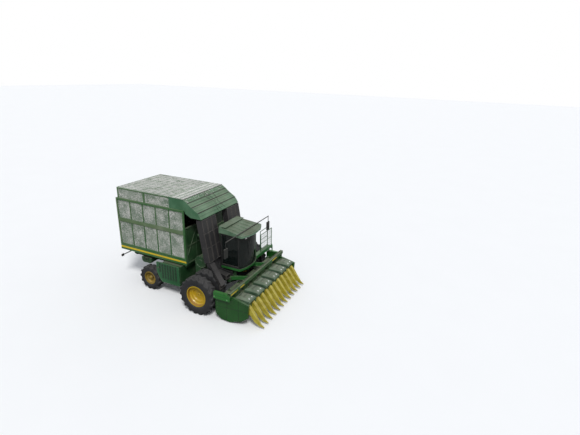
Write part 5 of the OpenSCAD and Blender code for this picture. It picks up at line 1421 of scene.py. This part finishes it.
def tyreProfile(r, w, rim, rimWidth, lug):
    hw, hr = w / 2, rimWidth / 2
    low = r - lug
    outer = [(rim - 22, hr - 3), (rim + 5, hr - 3), (rim + 16, hr + 2), (rim + 34, hw - 16),
             (rim + 38, hw - 10),
             (rim + 46, hw - 10), (rim + 52, hw - 15), (rim + 80, hw - 7), (rim + (low - rim) * 0.45, hw - 4),
             (rim + (low - rim) * 0.52, hw - 1), (rim + (low - rim) * 0.58, hw - 5), (r - 2.6 * lug, hw - 5)]
    shoulder = [(r - 2.6 * lug + (1.6 * lug - 8) * k / 6, hw - 5 - 43 * (k / 6) ** 1.6) for k in range(1, 7)]
    tread = [(low - 8 + 8 * smoothStep(0, 1, k / 9), (hw - 48) * (1 - k / 9)) for k in range(1, 10)]
    half = outer + shoulder + tread
    return half + [(a, -b) for a, b in reversed(half[:-1])]


def lugCover(share, y, radius, r, hw, lug, shares):
    turn = 0.36 * (1 - min(abs(y) / (hw - 48), 1.0))
    turn -= 0.12 * smoothStep(0, 1, (r - lug - radius) / (1.6 * lug))
    u = (share - turn - (0.5 if y < 0 else 0.0)) % 1.0
    side = smoothStep(shares[0], shares[1], u) * (1 - smoothStep(shares[2], shares[3], u))
    return side * smoothStep(2, 26, abs(y)) * smoothStep(r - 3.1 * lug, r - 2.2 * lug, radius)


def addTyre(bm, place, r, w, rim, rimWidth, lugs):
    s = wheels
    lug, hw = s["lugHeight"], w / 2
    profile = tyreProfile(r, w, rim, rimWidth, lug)
    steps = lugs * s["stepsPerLug"]
    rings = []
    for i in range(steps):
        share = i / s["stepsPerLug"]
        a = (share - s["lugShares"][1]) * 2 * math.pi / lugs
        ring = []
        for radius, y in profile:
            cover = lugCover(share, y, radius, r, hw, lug, s["lugShares"])
            wide = radius
            out = y
            if cover > 0:
                target = min(r, r - 26 * smoothStep(hw - 60, hw - 6, abs(y)) - 0.5)
                if abs(y) < hw - 46:
                    wide = radius + (max(target, radius) - radius) * cover
                else:
                    wide = radius + (target - radius) * cover * smoothStep(r - 2.6 * lug, r - lug, radius)
                out = math.copysign(min(abs(y) + 40 * cover * smoothStep(hw - 60, hw - 20, abs(y)), hw - 2),
                                    y)
            ring.append(bm.verts.new(at(place[0] + wide * math.sin(a), place[1] + out,
                                        place[2] - wide * math.cos(a))))
        rings.append(ring)
    count = len(profile)
    for i in range(steps):
        one, two = rings[i], rings[(i + 1) % steps]
        for k in range(count):
            bm.faces.new((one[k], one[(k + 1) % count], two[(k + 1) % count], two[k]))


def dressWheels():
    s = wheels
    for name, side in (("right", -1), ("left", 1)):
        def buildFront(bm):
            for y in s["frontY"]:
                addTyre(bm, (0, side * y, s["frontR"]), s["frontR"], s["frontWidth"], s["frontRim"],
                        s["frontRimWidth"],
                        s["frontLugs"])

        def buildRear(bm):
            addTyre(bm, (s["rearX"], side * s["rearY"], s["rearR"]), s["rearR"], s["rearWidth"], s["rearRim"],
                    s["rearRimWidth"], s["rearLugs"])

        for label, build, body, node in (("frontTyres_", buildFront, "front_wheels_", "front_tyres_"),
                                         ("rearTyre_", buildRear, "rear_wheel_", "rear_tyre_")):
            tyre = meshPiece(label + name, build, "tyre", body + name, 0.0, True)
            tyre.data.set_sharp_from_angle(angle=math.radians(48))
            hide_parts(node + name)
        y = s["frontY"][1]
        nuts = onRing(at(0, side * (y - 40), s["frontR"]), 0.135, 10, (0, 1, 0), (0, side, 0))
        nuts += onRing(at(0, side * (y + 22), s["frontR"]), 0.355, 12, (0, 1, 0), (0, side, 0))
        placed("frontNuts_" + name, nuts, boltTree, "rim_yellow", "front_wheels_" + name, None,
               Head_Radius=0.014, Head_Height=0.04, Washer_Radius=0.02, Washer_Height=0.01)
        nuts = onRing(at(s["rearX"], side * (s["rearY"] + 97), s["rearR"]), 0.062, 6, (0, 1, 0), (0, side, 0))
        nuts += onRing(at(s["rearX"], side * (s["rearY"] - 29), s["rearR"]), 0.14, 8, (0, 1, 0), (0, side, 0))
        placed("rearNuts_" + name, nuts, boltTree, "rim_yellow", "rear_wheel_" + name, "boltZinc",
               Head_Radius=0.009, Head_Height=0.022, Washer_Radius=0.013, Washer_Height=0.008)
        stem = [at(0, side * (y + 60), s["frontR"] + 400), at(0, side * (y + 100), s["frontR"] + 404),
                at(0, side * (y + 128), s["frontR"] + 398)]
        tube("frontValve_" + name, [smoothLine(stem)], "tyre", "front_wheels_" + name, 0.006, 8, "hoseRubber")
        rings = [([(0.072, 0.0), (0.08, 0.014), (0.066, 0.03), (0.04, 0.036), (0.039, 0.0), (0.072, 0.0)],
                  at(0, side * (y - 42), s["frontR"]), (0, side, 0))]
        turnedPieces("frontHub_" + name, rings, "rim_yellow", "front_wheels_" + name, None, 32)
        # Darker orange ring on the inner face of the rim barrel: painted shade where the barrel lies in
        # shadow
        shadeLiner = [([(0.461, 0.086), (0.461, 0.186), (0.456, 0.184), (0.4545, 0.13), (0.449, 0.092),
                   (0.440, 0.084),
                   (0.461, 0.086)], at(0, side * y, s["frontR"]), (0, side, 0))]
        turnedPieces("frontShadeLiner_" + name, shadeLiner, "rim_yellow", "front_wheels_" + name, "rimShadeOrange", 48)
    print("wheels dressed")


dressWheels()


# Seat: its cushion and back swell by a cloth simulation, then get their seams

seat = dict(cushion=((430, 930), (-250, 250), (2090, 2230)), back=((340, 429), (-240, 240), (2140, 2810)),
            voxel=0.008,
            pressure=4.0, frames=20, mostMove=0.012, inset=0.012)


def seatBlock(name, part):
    bm = bmesh.new()
    low = Vector(at(*(r[0] for r in part))) + Vector((seat["inset"],) * 3)
    high = Vector(at(*(r[1] for r in part))) - Vector((seat["inset"],) * 3)
    addBox(bm, low, high)
    bmesh.ops.bevel(bm, geom=list(bm.edges), offset=0.022, segments=3, profile=0.6, affect="EDGES")
    mesh = bpy.data.meshes.new(name)
    bm.to_mesh(mesh)
    bm.free()
    return linked(name, mesh)


def applied(piece):
    graph = bpy.context.evaluated_depsgraph_get()
    mesh = bpy.data.meshes.new_from_object(piece.evaluated_get(graph), depsgraph=graph)
    piece.modifiers.clear()
    piece.data = mesh


def swollen(piece):
    remesh = piece.modifiers.new("grid", "REMESH")
    remesh.mode = "VOXEL"
    remesh.voxel_size = seat["voxel"]
    bpy.context.view_layer.update()
    applied(piece)
    rest = [v.co.copy() for v in piece.data.vertices]
    cloth = piece.modifiers.new("swell", "CLOTH")
    cloth.settings.use_pressure = True
    cloth.settings.uniform_pressure_force = seat["pressure"]
    cloth.settings.effector_weights.gravity = 0
    cloth.settings.quality = 4
    cloth.collision_settings.use_collision = False
    cloth.point_cache.frame_start = 1
    cloth.point_cache.frame_end = seat["frames"]
    for step in range(1, seat["frames"] + 1):
        bpy.context.scene.frame_set(step)
    applied(piece)
    bpy.context.scene.frame_set(1)
    for vertex, start in zip(piece.data.vertices, rest):
        move = vertex.co - start
        if move.length > seat["mostMove"]:
            vertex.co = start + move.normalized() * seat["mostMove"]


def joinedMesh(name, pieces):
    bm = bmesh.new()
    for piece in pieces:
        bm.from_mesh(piece.data)
        bpy.data.objects.remove(piece)
    mesh = bpy.data.meshes.new(name)
    bmesh.ops.recalc_face_normals(bm, faces=bm.faces)
    bm.to_mesh(mesh)
    bm.free()
    return linked(name, mesh)


def dressSeat():
    blocks = [seatBlock("seatBase", seat["cushion"]), seatBlock("seatRest", seat["back"])]
    for block in blocks:
        swollen(block)
    cushion = joinedMesh("seatCushion", blocks)
    for face in cushion.data.polygons:
        face.use_smooth = True
    cushion.data.materials.append(materials["seatWeave"])
    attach(cushion, "root")
    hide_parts("seat_cushion")
    seams = []
    for y in (-130, 0, 130):
        seams.append([at(450, y, 2231), at(700, y, 2232), at(910, y, 2231)])
        seams.append([at(431, y, 2190), at(432, y, 2480), at(431, y, 2790)])
    tube("seatSeams", [smoothLine(line) for line in seams], "seat_cloth", "root", 0.0035, 8)
    print("seat made")


dressSeat()


# Floor, lights and camera

stage = dict(floor=400, bounce=(0.22, 0.22, 0.21, 1), sky=(0.80, 0.84, 0.90, 1), skyStrength=0.62, sun=2.3,
             sunWidth=14, sunTurn=(38, 8, 25))


def buildStage():
    s = stage
    bpy.ops.mesh.primitive_plane_add(size=s["floor"])
    floor = bpy.context.object
    floor.name = "studioFloor"
    material, tree, shader = newMaterial("floorPale")
    coords = tree.nodes.new("ShaderNodeTexCoord").outputs["Object"]
    tone = noiseNode(tree, coords, 0.4, 2.0)
    pale = mixColor(tree, tone, (0.86, 0.86, 0.86, 1), (0.88, 0.88, 0.88, 1))
    rays = tree.nodes.new("ShaderNodeLightPath")
    tree.links.new(mixColor(tree, rays.outputs["Is Camera Ray"], s["bounce"], pale),
                   shader.inputs["Base Color"])
    shader.inputs["Roughness"].default_value = 0.9
    floor.data.materials.append(material)
    world = bpy.data.worlds.new("studioSky")
    bpy.context.scene.world = world
    world.use_nodes = True
    tree = world.node_tree
    soft = tree.nodes["Background"]
    soft.inputs["Color"].default_value = s["sky"]
    soft.inputs["Strength"].default_value = s["skyStrength"]
    plain = tree.nodes.new("ShaderNodeBackground")
    plain.inputs["Color"].default_value = (1, 1, 1, 1)
    plain.inputs["Strength"].default_value = 1.0
    rays = tree.nodes.new("ShaderNodeLightPath")
    seen = mathNode(tree, "MAXIMUM", rays.outputs["Is Camera Ray"], rays.outputs["Is Glossy Ray"])
    seen = mathNode(tree, "MAXIMUM", seen, rays.outputs["Is Transmission Ray"])
    mix = tree.nodes.new("ShaderNodeMixShader")
    tree.links.new(seen, mix.inputs[0])
    tree.links.new(soft.outputs[0], mix.inputs[1])
    tree.links.new(plain.outputs[0], mix.inputs[2])
    tree.links.new(mix.outputs[0], tree.nodes["World Output"].inputs["Surface"])
    light = bpy.data.lights.new("softSun", "SUN")
    light.energy = s["sun"]
    light.angle = math.radians(s["sunWidth"])
    sun = bpy.data.objects.new("softSun", light)
    sun.rotation_euler = [math.radians(turn) for turn in s["sunTurn"]]
    bpy.context.scene.collection.objects.link(sun)


cameraSettings = dict(place=(11.068, -14.686, 10.286), yaw=114.431, pitch=-19.947, roll=1.860, lens=24.815)


def buildCamera():
    s = cameraSettings
    yaw, pitch, roll = (math.radians(s[k]) for k in ("yaw", "pitch", "roll"))
    forward = Vector((math.cos(yaw) * math.cos(pitch), math.sin(yaw) * math.cos(pitch), math.sin(pitch)))
    right = forward.cross(Vector((0, 0, 1))).normalized()
    up = right.cross(forward)
    turnedRight = right * math.cos(roll) + up * math.sin(roll)
    turnedUp = up * math.cos(roll) - right * math.sin(roll)
    data = bpy.data.cameras.new("photoCamera")
    data.lens = s["lens"]
    data.sensor_width = 36
    data.clip_end = 500
    camera = bpy.data.objects.new("photoCamera", data)
    turn = Matrix((turnedRight, turnedUp, -forward)).transposed().to_4x4()
    camera.matrix_world = Matrix.Translation(s["place"]) @ turn
    bpy.context.scene.collection.objects.link(camera)
    bpy.context.scene.camera = camera


buildStage()
buildCamera()
print("stage and camera ready")
